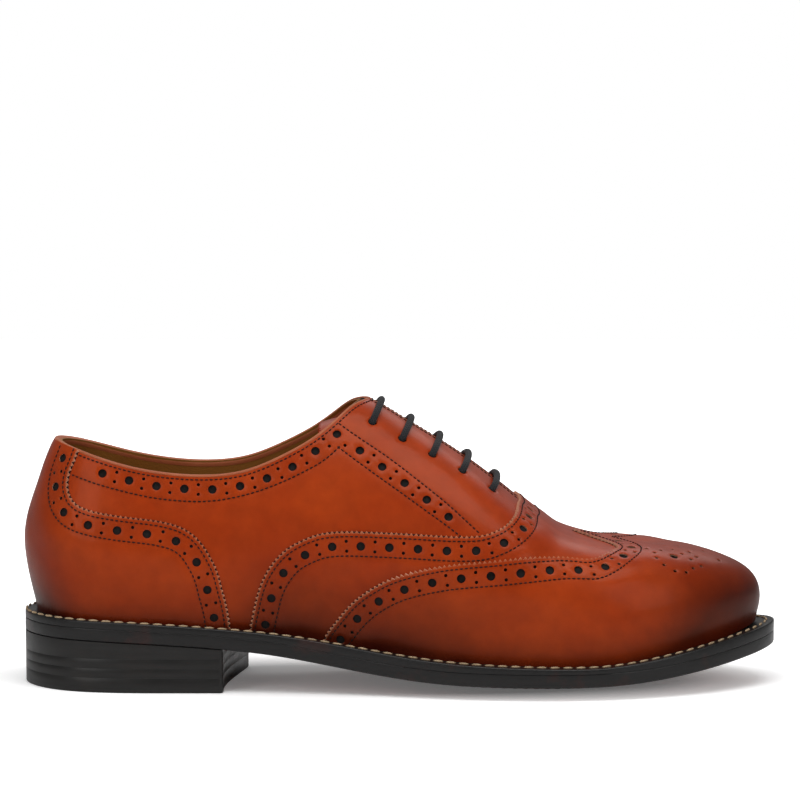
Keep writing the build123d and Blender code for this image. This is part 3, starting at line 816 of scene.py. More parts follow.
@dataclass
class Panel:
    """A cut of leather with punched holes, pinked or plain edges and stitched grooves.

    The border is its closed edge, raised the edges that lie on another piece, grooves the lines that
    the thread pulls down, and over the panel that it lies on.
    """

    name: str
    border: Seam
    punches: list[Punch] = field(default_factory=list)
    raised: list[Seam] = field(default_factory=list)
    grooves: list[Seam] = field(default_factory=list)
    lift: float = 1.1
    fade: tuple[float, float] = (12.5, 26.0)
    thickness: float = 0.95
    spacing: float = 2.0
    droop: float = 0.16
    groove: float = 0.16
    shoulder: float = 0.32
    edge_band: float = 0.85
    over: "Panel | None" = None

    def rise(self, p: Array) -> Array:
        """How far the leather is lifted by what lies under its raised edges.

        Args:
            p: points on the last.

        Returns:
            Millimetres for each point.
        """
        height = np.zeros(len(p)) if self.over is None else self.over.rise(p)
        if self.raised:
            gap = nearest_gap(p, np.concatenate([seam.points for seam in self.raised]))
            start, end = self.fade
            height += self.lift * (1 - eased((gap - start) / (end - start)))
        return height

    def heights(self, s: Array, t: Array) -> Array:
        """Height of the leather's face above the last.

        Args:
            s: outline shares.
            t: height shares.

        Returns:
            Millimetres for each point.
        """
        p = LAST.point(s, t)
        height = self.rise(p)
        if self.grooves:
            gap = nearest_gap(p, np.concatenate([seam.points for seam in self.grooves]))
            height -= self.groove * np.exp(-(gap / .75) ** 2)
        return height

    def _fill(self, polygon: Array, keep_off: Array) -> tuple[Array, Array]:
        """Inner points in even rows, clear of the edges and holes.

        Args:
            polygon: the flattened border.
            keep_off: points to stay clear of.

        Returns:
            Outline and height shares.
        """
        all_s, all_t = [], []
        for row, t in enumerate(np.linspace(-.03, .997, 58)):
            s = np.linspace(-1, 1, 900)
            p = LAST.point(s, t + 0 * s)
            total = np.linalg.norm(np.diff(p, axis=0), axis=1).sum()
            count = max(int(total / self.spacing), 3)
            shares = (np.arange(count) + .5 * (row % 2)) / count
            all_s.append(np.interp(shares, shares_along(p), s))
            all_t.append(np.full(count, t))
        s, t = np.concatenate(all_s), np.concatenate(all_t)
        inside = inside_polygon(LAST.flat(s, t), polygon)
        s, t = s[inside], t[inside]
        p = LAST.point(s, t)
        good = nearest_gap(p, keep_off) > .55 * self.spacing
        for punch in self.punches:
            centre = LAST.point(punch.s, punch.t)
            good &= np.linalg.norm(p - centre, axis=1) > punch.radius + .75
        return s[good], t[good]

    def build(self, finishes: Sequence[Material]) -> Object:
        """Cuts, lifts and thickens the panel.

        Args:
            finishes: face, then cut edge.

        Returns:
            The finished piece.
        """
        s, t = [self.border.s], [self.border.t]
        sink = [np.full(len(self.border.s), self.droop)]
        count = len(self.border.s)
        edges = [(i, (i + 1) % count) for i in range(count)]
        rings, keep_off = [], [self.border.points]
        for punch in self.punches:
            steps = punch.steps
            lip, shoulder = punch.ring(punch.radius, steps), punch.ring(punch.radius + self.shoulder, steps)
            edges += [(count + i, count + (i + 1) % steps) for i in range(steps)]
            rings.append((count, count + steps))
            s += [lip.s, shoulder.s]
            t += [lip.t, shoulder.t]
            sink += [np.full(steps, self.droop), np.zeros(steps)]
            count += 2 * steps
        polygon = LAST.flat(self.border.s, self.border.t)
        guides = [np.zeros((0, 3))]
        for seam in self.grooves:
            for aside in (-1.0, -.45, 0, .45, 1.0):
                row = seam.moved(aside, clean=False).even(1.5)
                inside = inside_polygon(LAST.flat(row.s, row.t), polygon)
                good = inside & (nearest_gap(row.points, self.border.points) > .4)
                for punch in self.punches:
                    centre = LAST.point(punch.s, punch.t)
                    good &= np.linalg.norm(row.points - centre, axis=1) > punch.radius + .45
                s.append(row.s[good])
                t.append(row.t[good])
                sink.append(np.zeros(good.sum()))
                guides.append(row.points[good])
        keep_off = np.concatenate([*keep_off, *guides])
        fill_s, fill_t = self._fill(polygon, keep_off)
        s, t = np.concatenate([*s, fill_s]), np.concatenate([*t, fill_t])
        sink = np.concatenate([*sink, np.zeros(len(fill_s))])
        flat = LAST.flat(s, t)
        tri = triangles(flat, edges)
        ring_of = np.full(len(s), -1)
        for i, (start, end) in enumerate(rings):
            ring_of[start:end] = i
        middle = flat[tri].mean(1)
        owner = ring_of[tri]
        in_hole = (owner[:, 0] >= 0) & (owner[:, 0] == owner[:, 1]) & (owner[:, 1] == owner[:, 2])
        tri = tri[inside_polygon(middle, polygon) & ~in_hole]
        points = LAST.lifted(s, t, self.heights(s, t) - sink)
        normal = np.cross(points[tri[:, 1]] - points[tri[:, 0]], points[tri[:, 2]] - points[tri[:, 0]])
        wrong = (normal * LAST.outward(s[tri[:, 0]], t[tri[:, 0]])).sum(1) < 0
        tri[wrong] = tri[wrong][:, ::-1]
        used = np.unique(tri)
        renumber = np.full(len(s), -1)
        renumber[used] = np.arange(len(used))
        made = mesh_object(self.name, points[used], renumber[tri], finishes)
        # darkening share: burnished toe and heel, and painted shade low down towards the welt, waist and
        # shank
        paint(made, "burnish", burnish(points[used]))
        # lighter band at the pinked edges: the raw cut edge's own colour, partly a painted highlight where
        # the edge catches the light
        if self.raised:
            gap = nearest_gap(LAST.point(s, t)[used], np.concatenate([seam.points for seam in self.raised]))
            paint(made, "lightening", np.exp(-(gap / self.edge_band) ** 2))
        solid = made.modifiers.new("thickness", "SOLIDIFY")
        solid.thickness = self.thickness * MM
        solid.offset = -1
        solid.use_rim = True
        solid.material_offset_rim = 1
        applied(made)
        smooth(made.data)
        return made


def burnish(points: Array) -> Array:
    """How much darker the leather is made, 0 to 1: burnishing on the toe and heel, and painted shade that
    grows low down, towards the welt and at the waist and shank.

    Args:
        points: N by 3, in millimetres.

    Returns:
        N shares.
    """
    x, _, z = points.T
    welt = Curve(WELT_TOP)(x)
    # painted shade: darker towards the welt, where the upper turns under
    low = np.exp(-np.maximum(z - welt, 0) / 9.0) * .8
    toe = eased((x - 88) / 50) * (.42 + .5 * eased((58 - z) / 26))
    heel = eased((-126 - x) / 26) * (.25 + .45 * eased((62 - z) / 34))
    # painted shade low down at the waist and shank
    waist_shade = .42 * np.exp(-((x + 2) / 36) ** 2) * eased((54 - z) / 24)
    shank = .34 * np.exp(-((x + 44) / 17) ** 2) * eased((62 - z) / 24)
    return np.clip(low + toe + heel + (waist_shade + shank), 0, 1)


def pinked(seam: Seam, pitch: float = 2.0, depth: float = 1.15) -> Seam:
    """A zigzag edge: teeth of this pitch and depth, cut into the piece on the seam's right.

    Args:
        seam: the line through the teeth's tips.
        pitch: from tooth to tooth.
        depth: from tip to valley.

    Returns:
        The zigzag line.
    """
    corners = 2 * max(int(round(seam.length / pitch)), 4) + 1
    fine = seam.at(np.linspace(0, 1, corners))
    step = np.where(np.arange(corners) % 2 == 0, 0.0, depth)
    step[[0, -1]] = 0
    return fine.moved(step, clean=False)


def punched(seam: Seam, radius: float) -> list[Punch]:
    """A hole at every point of a seam."""
    return [Punch(float(s), float(t), radius) for s, t in zip(seam.s, seam.t)]


def rows_of_holes(seam: Seam, pitch: float, big: float, small: float, spread: float = 1.95) -> list[Punch]:
    """Big holes at a pitch along a seam, with a pair of small ones between.

    Args:
        seam: the line through the big holes.
        pitch: distance between big holes.
        big: radius of the big holes.
        small: radius of the small ones.
        spread: distance of the small ones from the line.

    Returns:
        The holes.
    """
    count = max(int(round(seam.length / pitch)), 1)
    punches = punched(seam.at(np.linspace(0, 1, count + 1)), big)
    middles = seam.at((np.arange(count) + .5) / count)
    for aside in (-spread, spread):
        punches += punched(middles.moved(np.full(len(middles.s), aside), clean=False), small)
    return punches


# ---- stitches by Geometry Nodes ------------------------------------------------------------------
@dataclass
class StitchTree:
    """A node tree that lays stitches along a line, each a small arched grain of thread."""

    name: str = "stitch_row"

    def build(self) -> bpy.types.NodeTree:
        """Makes the tree with its named inputs.

        Returns:
            The tree.
        """
        tree = bpy.data.node_groups.new(self.name, "GeometryNodeTree")
        face = tree.interface
        face.new_socket("Geometry", in_out="INPUT", socket_type="NodeSocketGeometry")
        for label in ("Pitch", "Length", "Thread", "Slant"):
            face.new_socket(label, in_out="INPUT", socket_type="NodeSocketFloat")
        face.new_socket("Finish", in_out="INPUT", socket_type="NodeSocketMaterial")
        face.new_socket("Geometry", in_out="OUTPUT", socket_type="NodeSocketGeometry")
        nodes, link = tree.nodes, tree.links.new
        start, end = nodes.new("NodeGroupInput"), nodes.new("NodeGroupOutput")
        line = nodes.new("GeometryNodeMeshToCurve")
        even = nodes.new("GeometryNodeResampleCurve")
        even.mode = "LENGTH"
        grain = nodes.new("GeometryNodeMeshUVSphere")
        for label, value in (("Segments", 8), ("Rings", 5), ("Radius", 1.0)):
            grain.inputs[label].default_value = value
        half = nodes.new("ShaderNodeMath")
        half.operation = "MULTIPLY"
        half.inputs[1].default_value = 0.5
        size = nodes.new("ShaderNodeCombineXYZ")
        shape = nodes.new("GeometryNodeTransform")
        turned = nodes.new("ShaderNodeCombineXYZ")
        tangent = nodes.new("GeometryNodeInputTangent")
        up = nodes.new("GeometryNodeInputNamedAttribute")
        up.data_type = "FLOAT_VECTOR"
        up.inputs["Name"].default_value = "up"
        aim = nodes.new("FunctionNodeAlignRotationToVector")
        aim.axis = "X"
        stand = nodes.new("FunctionNodeAlignRotationToVector")
        stand.axis = "Z"
        stand.pivot_axis = "X"
        place = nodes.new("GeometryNodeInstanceOnPoints")
        real = nodes.new("GeometryNodeRealizeInstances")
        soft = nodes.new("GeometryNodeSetShadeSmooth")
        dress = nodes.new("GeometryNodeSetMaterial")
        for out, into in (
                (start.outputs["Geometry"], line.inputs[0]), (line.outputs[0], even.inputs["Curve"]),
                (start.outputs["Pitch"], even.inputs["Length"]), (start.outputs["Length"], half.inputs[0]),
                (half.outputs[0], size.inputs[0]), (start.outputs["Thread"], size.inputs[1]),
                (start.outputs["Thread"], size.inputs[2]), (start.outputs["Slant"], turned.inputs[2]),
                (grain.outputs["Mesh"], shape.inputs["Geometry"]), (size.outputs[0], shape.inputs["Scale"]),
                (turned.outputs[0], shape.inputs["Rotation"]), (tangent.outputs[0], aim.inputs["Vector"]),
                (aim.outputs[0], stand.inputs["Rotation"]), (up.outputs["Attribute"], stand.inputs["Vector"]),
                (even.outputs[0], place.inputs["Points"]), (shape.outputs[0], place.inputs["Instance"]),
                (stand.outputs[0], place.inputs["Rotation"]), (place.outputs[0], real.inputs[0]),
                (real.outputs[0], soft.inputs[0]), (soft.outputs[0], dress.inputs["Geometry"]),
                (start.outputs["Finish"], dress.inputs["Material"]), (dress.outputs[0], end.inputs[0])):
            link(out, into)
        return tree


STITCHES = StitchTree().build()


@dataclass
class Stitching:
    """Rows of stitches that make one piece."""

    name: str
    thread: Material
    pitch: float = 1.95
    length: float = 1.55
    radius: float = 0.31
    slant: float = 0.0

    def build(self, rows: Sequence[tuple[Array, Array]], closed: bool = False) -> Object:
        """Lays stitches along every row.

        Args:
            rows: for each row its points in millimetres and its upward directions.
            closed: join each row's end to its start.

        Returns:
            The stitches as one mesh.
        """
        points = np.concatenate([p for p, _ in rows])
        ups = np.concatenate([u for _, u in rows])
        edges, start = [], 0
        for p, _ in rows:
            edges += [(start + i, start + i + 1) for i in range(len(p) - 1)]
            if closed:
                edges.append((start + len(p) - 1, start))
            start += len(p)
        mesh = bpy.data.meshes.new(self.name)
        mesh.from_pydata((points * MM).tolist(), edges, [])
        layer = mesh.attributes.new("up", "FLOAT_VECTOR", "POINT")
        layer.data.foreach_set("vector", ups.astype(np.float32).ravel())
        made = bpy.data.objects.new(self.name, mesh)
        bpy.context.scene.collection.objects.link(made)
        work = made.modifiers.new("stitches", "NODES")
        work.node_group = STITCHES
        inputs = {item.name: item.identifier for item in STITCHES.interface.items_tree
                  if item.in_out == "INPUT"}
        for label, value in (("Pitch", self.pitch * MM), ("Length", self.length * MM),
                             ("Thread", self.radius * MM), ("Slant", self.slant), ("Finish", self.thread)):
            work[inputs[label]] = value
        return applied(made)


# ---- finishes ------------------------------------------------------------------------------------
Colour = Triple
WHITE = (1, 1, 1, 1)


class Nodes:
    """Short hand for building a material's nodes."""

    def __init__(self, name: str) -> None:
        """Starts a material with one Principled shader.

        Args:
            name: of the material.
        """
        self.material = bpy.data.materials.new(name)
        self.material.use_nodes = True
        self.tree = self.material.node_tree
        self.tree.nodes.clear()
        self.shader = self.add("ShaderNodeBsdfPrincipled")
        out = self.add("ShaderNodeOutputMaterial")
        self.link(self.shader.outputs[0], out.inputs[0])
        self.place = self.add("ShaderNodeTexCoord").outputs["Object"]

    def add(self, kind: str, **values: object) -> Node:
        """Adds a node; values set its properties.

        Args:
            kind: the node's type.
            values: its properties.

        Returns:
            The node.
        """
        node = self.tree.nodes.new(kind)
        for key, value in values.items():
            setattr(node, key, value)
        return node

    def link(self, start: Socket, end: Socket) -> None:
        """Joins two sockets."""
        self.tree.links.new(start, end)

    def noise(self, scale: float, detail: float = 3.0, roughness: float = 0.5,
              stretch: Triple | None = None) -> Socket:
        """Noise on the piece's own coordinates; stretch scales each axis.

        Args:
            scale: patches in a metre.
            detail: finer layers.
            roughness: strength of the finer layers.
            stretch: scale of each axis.

        Returns:
            A share, 0 to 1.
        """
        node = self.add("ShaderNodeTexNoise")
        for label, value in (("Scale", scale), ("Detail", detail), ("Roughness", roughness)):
            node.inputs[label].default_value = value
        place = self.place
        if stretch:
            turn = self.add("ShaderNodeMapping")
            turn.inputs["Scale"].default_value = stretch
            self.link(self.place, turn.inputs["Vector"])
            place = turn.outputs[0]
        self.link(place, node.inputs["Vector"])
        return node.outputs["Fac"]

    def cells(self, scale: float) -> Socket:
        """Distance to the edges of small cells, as in leather grain.

        Args:
            scale: cells in a metre.

        Returns:
            The distance.
        """
        node = self.add("ShaderNodeTexVoronoi", feature="DISTANCE_TO_EDGE")
        node.inputs["Scale"].default_value = scale
        self.link(self.place, node.inputs["Vector"])
        return node.outputs["Distance"]

    def span(self, value: Socket, low: float, high: float, to_low: float, to_high: float) -> Socket:
        """Maps a range to another, held at both ends.

        Args:
            value: what is mapped.
            low: start of its range.
            high: end of its range.
            to_low: result at the start.
            to_high: result at the end.

        Returns:
            The result.
        """
        node = self.add("ShaderNodeMapRange", clamp=True)
        for key, number in (("From Min", low), ("From Max", high), ("To Min", to_low), ("To Max", to_high)):
            node.inputs[key].default_value = number
        self.link(value, node.inputs["Value"])
        return node.outputs[0]

    def maths(self, kind: str, a: Socket | float, b: Socket | float) -> Socket:
        """One sum of two values.

        Args:
            kind: the operation.
            a: first value.
            b: second value.

        Returns:
            The result.
        """
        node = self.add("ShaderNodeMath", operation=kind)
        for i, value in enumerate((a, b)):
            if isinstance(value, (int, float)):
                node.inputs[i].default_value = value
            else:
                self.link(value, node.inputs[i])
        return node.outputs[0]

    def blend(self, share: Socket, a: Socket | Colour, b: Socket | Colour) -> Socket:
        """A mix of two colours by a share.

        Args:
            share: 0 for a, 1 for b.
            a: first colour.
            b: second colour.

        Returns:
            The colour.
        """
        node = self.add("ShaderNodeMix", data_type="RGBA")
        self.link(share, node.inputs[0])
        for i, value in ((6, a), (7, b)):
            if isinstance(value, tuple):
                node.inputs[i].default_value = (*value, 1)
            else:
                self.link(value, node.inputs[i])
        return node.outputs[2]

    def bump(self, height: Socket, depth: float, strength: float = 1.0,
             under: Socket | None = None) -> Socket:
        """A bump of this depth in metres, over another if given.

        Args:
            height: 0 to 1.
            depth: metres for a height of 1.
            strength: share of the bump that is used.
            under: normal of another bump.

        Returns:
            The normal.
        """
        node = self.add("ShaderNodeBump")
        node.inputs["Strength"].default_value = strength
        node.inputs["Distance"].default_value = depth
        self.link(height, node.inputs["Height"])
        if under is not None:
            self.link(under, node.inputs["Normal"])
        return node.outputs[0]

    def attribute(self, name: str) -> Socket:
        """A number painted on the mesh."""
        return self.add("ShaderNodeAttribute", attribute_name=name).outputs["Fac"]

    def set(self, **values: float | tuple[float, ...]) -> None:
        """Sets the shader's own sockets by name, with spaces for underscores."""
        for key, value in values.items():
            self.shader.inputs[key.replace("_", " ")].default_value = value


@dataclass(frozen=True)
class CalfLeather:
    """Polished calf with soft blotches, fine grain, darker burnished parts and painted shade low down."""

    name: str
    base: Colour
    glow: Colour
    dark: Colour
    # colour of the lighter band at the pinked edges: raw edge colour, partly painted highlight
    raw_edge_and_highlight: Colour = (.50, .20, .10)
    sheen: Colour = (1, .5, .3)
    roughness: float = 0.34
    coat: float = 0.06
    grain: float = 1500.0

    def build(self) -> Material:
        """Makes the material.

        Returns:
            The material.
        """
        n = Nodes(self.name)
        cloud = n.span(n.noise(24, 3.5, .55), .33, .67, 0, 1)
        mottle = n.span(n.noise(140, 4, .6), .3, .7, 0, 1)
        colour = n.blend(cloud, self.base, self.glow)
        speck = n.span(mottle, 0, 1, 0, .22)
        colour = n.blend(speck, colour, self.dark)
        # burnishing and painted shade, painted on the mesh
        burnish_and_shade_share = n.attribute("burnish")
        uneven = n.maths("MULTIPLY_ADD", cloud, -.18)
        uneven.node.inputs[2].default_value = 1.06
        burnt_and_shaded = n.maths("MULTIPLY", burnish_and_shade_share, uneven)
        colour = n.blend(burnt_and_shaded, colour, self.dark)
        # lighter band at the pinked edges: raw edge colour, partly painted highlight
        colour = n.blend(n.span(n.attribute("lightening"), .1, .8, 0, .8), colour, self.raw_edge_and_highlight)
        n.link(colour, n.shader.inputs["Base Color"])
        cells = n.cells(self.grain)
        fine = n.noise(self.grain * 2.2, 2)
        rough = n.span(n.noise(60, 4, .6), .3, .7, self.roughness - .05, self.roughness + .07)
        n.link(rough, n.shader.inputs["Roughness"])
        low = n.bump(n.noise(75, 3, .5), .00022, .35)
        grain = n.bump(n.span(cells, 0, .12, 0, 1), .00003, .35, low)
        n.link(n.bump(fine, .00002, .3, grain), n.shader.inputs["Normal"])
        n.set(Coat_Weight=self.coat, Coat_Roughness=.13, Specular_IOR_Level=.27,
              Specular_Tint=(*self.sheen, 1))
        return n.material


@dataclass(frozen=True)
class PlainLeather:
    """Leather, cork or board with a mottled colour and a matt grain."""

    name: str
    base: Colour
    dark: Colour
    roughness: float = 0.6
    scale: float = 400.0
    depth: float = 0.00006
    coat: float = 0.0

    def build(self) -> Material:
        """Makes the material.

        Returns:
            The material.
        """
        n = Nodes(self.name)
        patch = n.span(n.noise(45, 4, .6), .3, .7, 0, .75)
        n.link(n.blend(patch, self.base, self.dark), n.shader.inputs["Base Color"])
        rough = n.span(n.noise(self.scale * .7, 3, .6), .3, .7, self.roughness - .06, self.roughness + .08)
        n.link(rough, n.shader.inputs["Roughness"])
        pores = n.bump(n.span(n.cells(self.scale), 0, .2, 0, 1), self.depth, .5)
        n.link(n.bump(n.noise(self.scale * 3, 3), self.depth * .5, .5, pores), n.shader.inputs["Normal"])
        n.set(Coat_Weight=self.coat, Coat_Roughness=.25, Specular_IOR_Level=.28)
        return n.material


@dataclass(frozen=True)
class EdgeDressing:
    """Inked and waxed leather edge with faint lines along it and a warm rub here and there."""

    name: str
    base: Colour
    rub: Colour
    roughness: float = 0.34
    lines: float = 420.0

    def build(self) -> Material:
        """Makes the material.

        Returns:
            The material.
        """
        n = Nodes(self.name)
        streak = n.noise(self.lines, 4, .6, (.05, .05, 1.0))
        lightening = n.span(n.noise(38, 4, .6), .58, .78, 0, .8)
        dry = tuple(c * 1.9 + .004 for c in self.base)
        colour = n.blend(n.span(streak, .35, .7, 0, .3), self.base, dry)
        n.link(n.blend(lightening, colour, self.rub), n.shader.inputs["Base Color"])
        rough = n.span(n.noise(90, 4, .6), .3, .7, self.roughness - .07, self.roughness + .1)
        n.link(rough, n.shader.inputs["Roughness"])
        lines = n.bump(streak, .00005, .3)
        n.link(n.bump(n.noise(900, 3), .00003, .4, lines), n.shader.inputs["Normal"])
        n.set(Coat_Weight=.05, Coat_Roughness=.2, Specular_IOR_Level=.3)
        return n.material


@dataclass(frozen=True)
class SoleLeather:
    """The stained underside: black at the rim, reddish brown inside."""

    name: str
    base: Colour
    dark: Colour
    ink: Colour = (.006, .0055, .0055)

    def build(self) -> Material:
        """Makes the material.

        Returns:
            The material.
        """
        n = Nodes(self.name)
        patch = n.span(n.noise(30, 5, .6), .35, .7, 0, .6)
        colour = n.blend(patch, self.base, self.dark)
        n.link(n.blend(n.attribute("rim"), colour, self.ink), n.shader.inputs["Base Color"])
        n.link(n.span(n.noise(200, 4, .6), .3, .7, .38, .55), n.shader.inputs["Roughness"])
        n.link(n.bump(n.noise(700, 4, .6, (.3, 1, 1)), .00005, .5), n.shader.inputs["Normal"])
        return n.material


@dataclass(frozen=True)
class Braid:
    """Round braided cotton, its strands following the lace's own length and turn, with painted highlights on
    their crests and painted shade between them.
    """

    name: str
    base: Colour
    # colour of the strand crests, a painted highlight
    light: Colour
    along: float = 360
    around: float = 6

    def build(self) -> Material:
        """Makes the material.

        Returns:
            The material.
        """
        n = Nodes(self.name)
        place = n.add("ShaderNodeUVMap", uv_map="UVMap").outputs[0]
        strands = []
        for turn in (1, -1):
            node = n.add("ShaderNodeMapping")
            node.inputs["Scale"].default_value = (self.along, self.around * turn, 1)
            n.link(place, node.inputs["Vector"])
            split = n.add("ShaderNodeSeparateXYZ")
            n.link(node.outputs[0], split.inputs[0])
            total = n.maths("ADD", split.outputs[0], split.outputs[1])
            wave = n.maths("SINE", n.maths("MULTIPLY", total, 2 * math.pi), 0.0)
            strands.append(n.span(wave, -1, 1, 0, 1))
        weave = n.maths("MAXIMUM", strands[0], strands[1])
        fuzz = n.span(n.noise(2600, 3), .3, .7, 0, .5)
        # painted highlight and shade: strand crests lighter, grooves darker, by the same weave as the bump
        colour = n.blend(n.maths("MULTIPLY", weave, .8), self.base, self.light)
        n.link(n.blend(fuzz, colour, self.base), n.shader.inputs["Base Color"])
        under = n.bump(weave, .0002, .75)
        n.link(n.bump(fuzz, .00005, .5, under), n.shader.inputs["Normal"])
        n.set(Roughness=.8, Specular_IOR_Level=.25, Sheen_Weight=.08, Sheen_Roughness=.5)
        return n.material


@dataclass(frozen=True)
class Thread:
    """Waxed thread with a fine twist."""

    name: str
    base: Colour
    roughness: float = 0.65

    def build(self) -> Material:
        """Makes the material.

        Returns:
            The material.
        """
        n = Nodes(self.name)
        tone = n.span(n.noise(300, 3), .3, .7, 0, .6)
        n.link(n.blend(tone, self.base, tuple(c * .55 for c in self.base)), n.shader.inputs["Base Color"])
        n.link(n.bump(n.noise(2500, 2), .00006, .6), n.shader.inputs["Normal"])
        n.set(Roughness=self.roughness, Specular_IOR_Level=.2)
        return n.material


@dataclass(frozen=True)
class Hard:
    """Metal, plastic or rubber."""

    name: str
    base: Colour
    roughness: float
    metallic: float = 0.0

    def build(self) -> Material:
        """Makes the material.

        Returns:
            The material.
        """
        n = Nodes(self.name)
        tone = n.span(n.noise(120, 4, .6), .3, .7, 0, .5)
        n.link(n.blend(tone, self.base, tuple(c * .6 for c in self.base)), n.shader.inputs["Base Color"])
        rough = n.span(n.noise(300, 3), .3, .7, self.roughness - .05, self.roughness + .08)
        n.link(rough, n.shader.inputs["Roughness"])
        n.link(n.bump(n.noise(1200, 3), .00002, .5), n.shader.inputs["Normal"])
        n.set(Metallic=self.metallic)
        return n.material


class Finishes:
    """Every finish on the shoe."""

    def __init__(self) -> None:
        """Builds them all."""
        self.calf = CalfLeather("cognac_calf", (.33, .029, .0027), (.42, .047, .005),
                                (.045, .004, .0012)).build()
        self.cut = PlainLeather("cut_edge", (.66, .36, .24), (.46, .19, .11), .7, 900, .00003).build()
        self.binding = PlainLeather("folded_edge", (.44, .125, .05), (.32, .07, .022), .5, 900, .00003,
                                    .1).build()
        # near-black strips of painted shade under the holes and beside the pinked teeth
        self.shade_strip = PlainLeather("black_shade_strip", (.006, .005, .005), (.012, .010, .009), .85,
                                    1200).build()
        self.lining = PlainLeather("lining_leather", (.33, .13, .022), (.25, .09, .014), .55, 800, .00005,
                                   .05).build()
        self.sock = PlainLeather("sock_leather", (.40, .19, .055), (.30, .13, .036), .5, 600, .00005,
                                 .1).build()
        self.board = PlainLeather("stiff_board", (.012, .010, .009), (.007, .006, .005), .85, 300).build()
        self.cork = PlainLeather("cork_filler", (.33, .18, .08), (.15, .07, .03), .85, 260, .0003).build()
        self.edge = EdgeDressing("black_edge", (.0075, .007, .0068), (.05, .012, .008)).build()
        self.heel = EdgeDressing("heel_edge", (.0105, .0098, .0092), (.02, .016, .013), .38, 600).build()
        self.sole = SoleLeather("sole_leather", (.20, .035, .013), (.09, .016, .008)).build()
        self.tan_thread = Thread("welt_thread", (.46, .33, .20), .6).build()
        self.brown_thread = Thread("upper_thread", (.020, .007, .005)).build()
        self.lace = Braid("lace_cotton", (.006, .006, .007), (.030, .030, .033)).build()
        self.rubber = Hard("top_piece_rubber", (.009, .009, .009), .55).build()
        self.aglet = Hard("aglet_plastic", (.02, .02, .02), .25).build()
        self.steel = Hard("shank_steel", (.45, .46, .48), .35, 1.0).build()


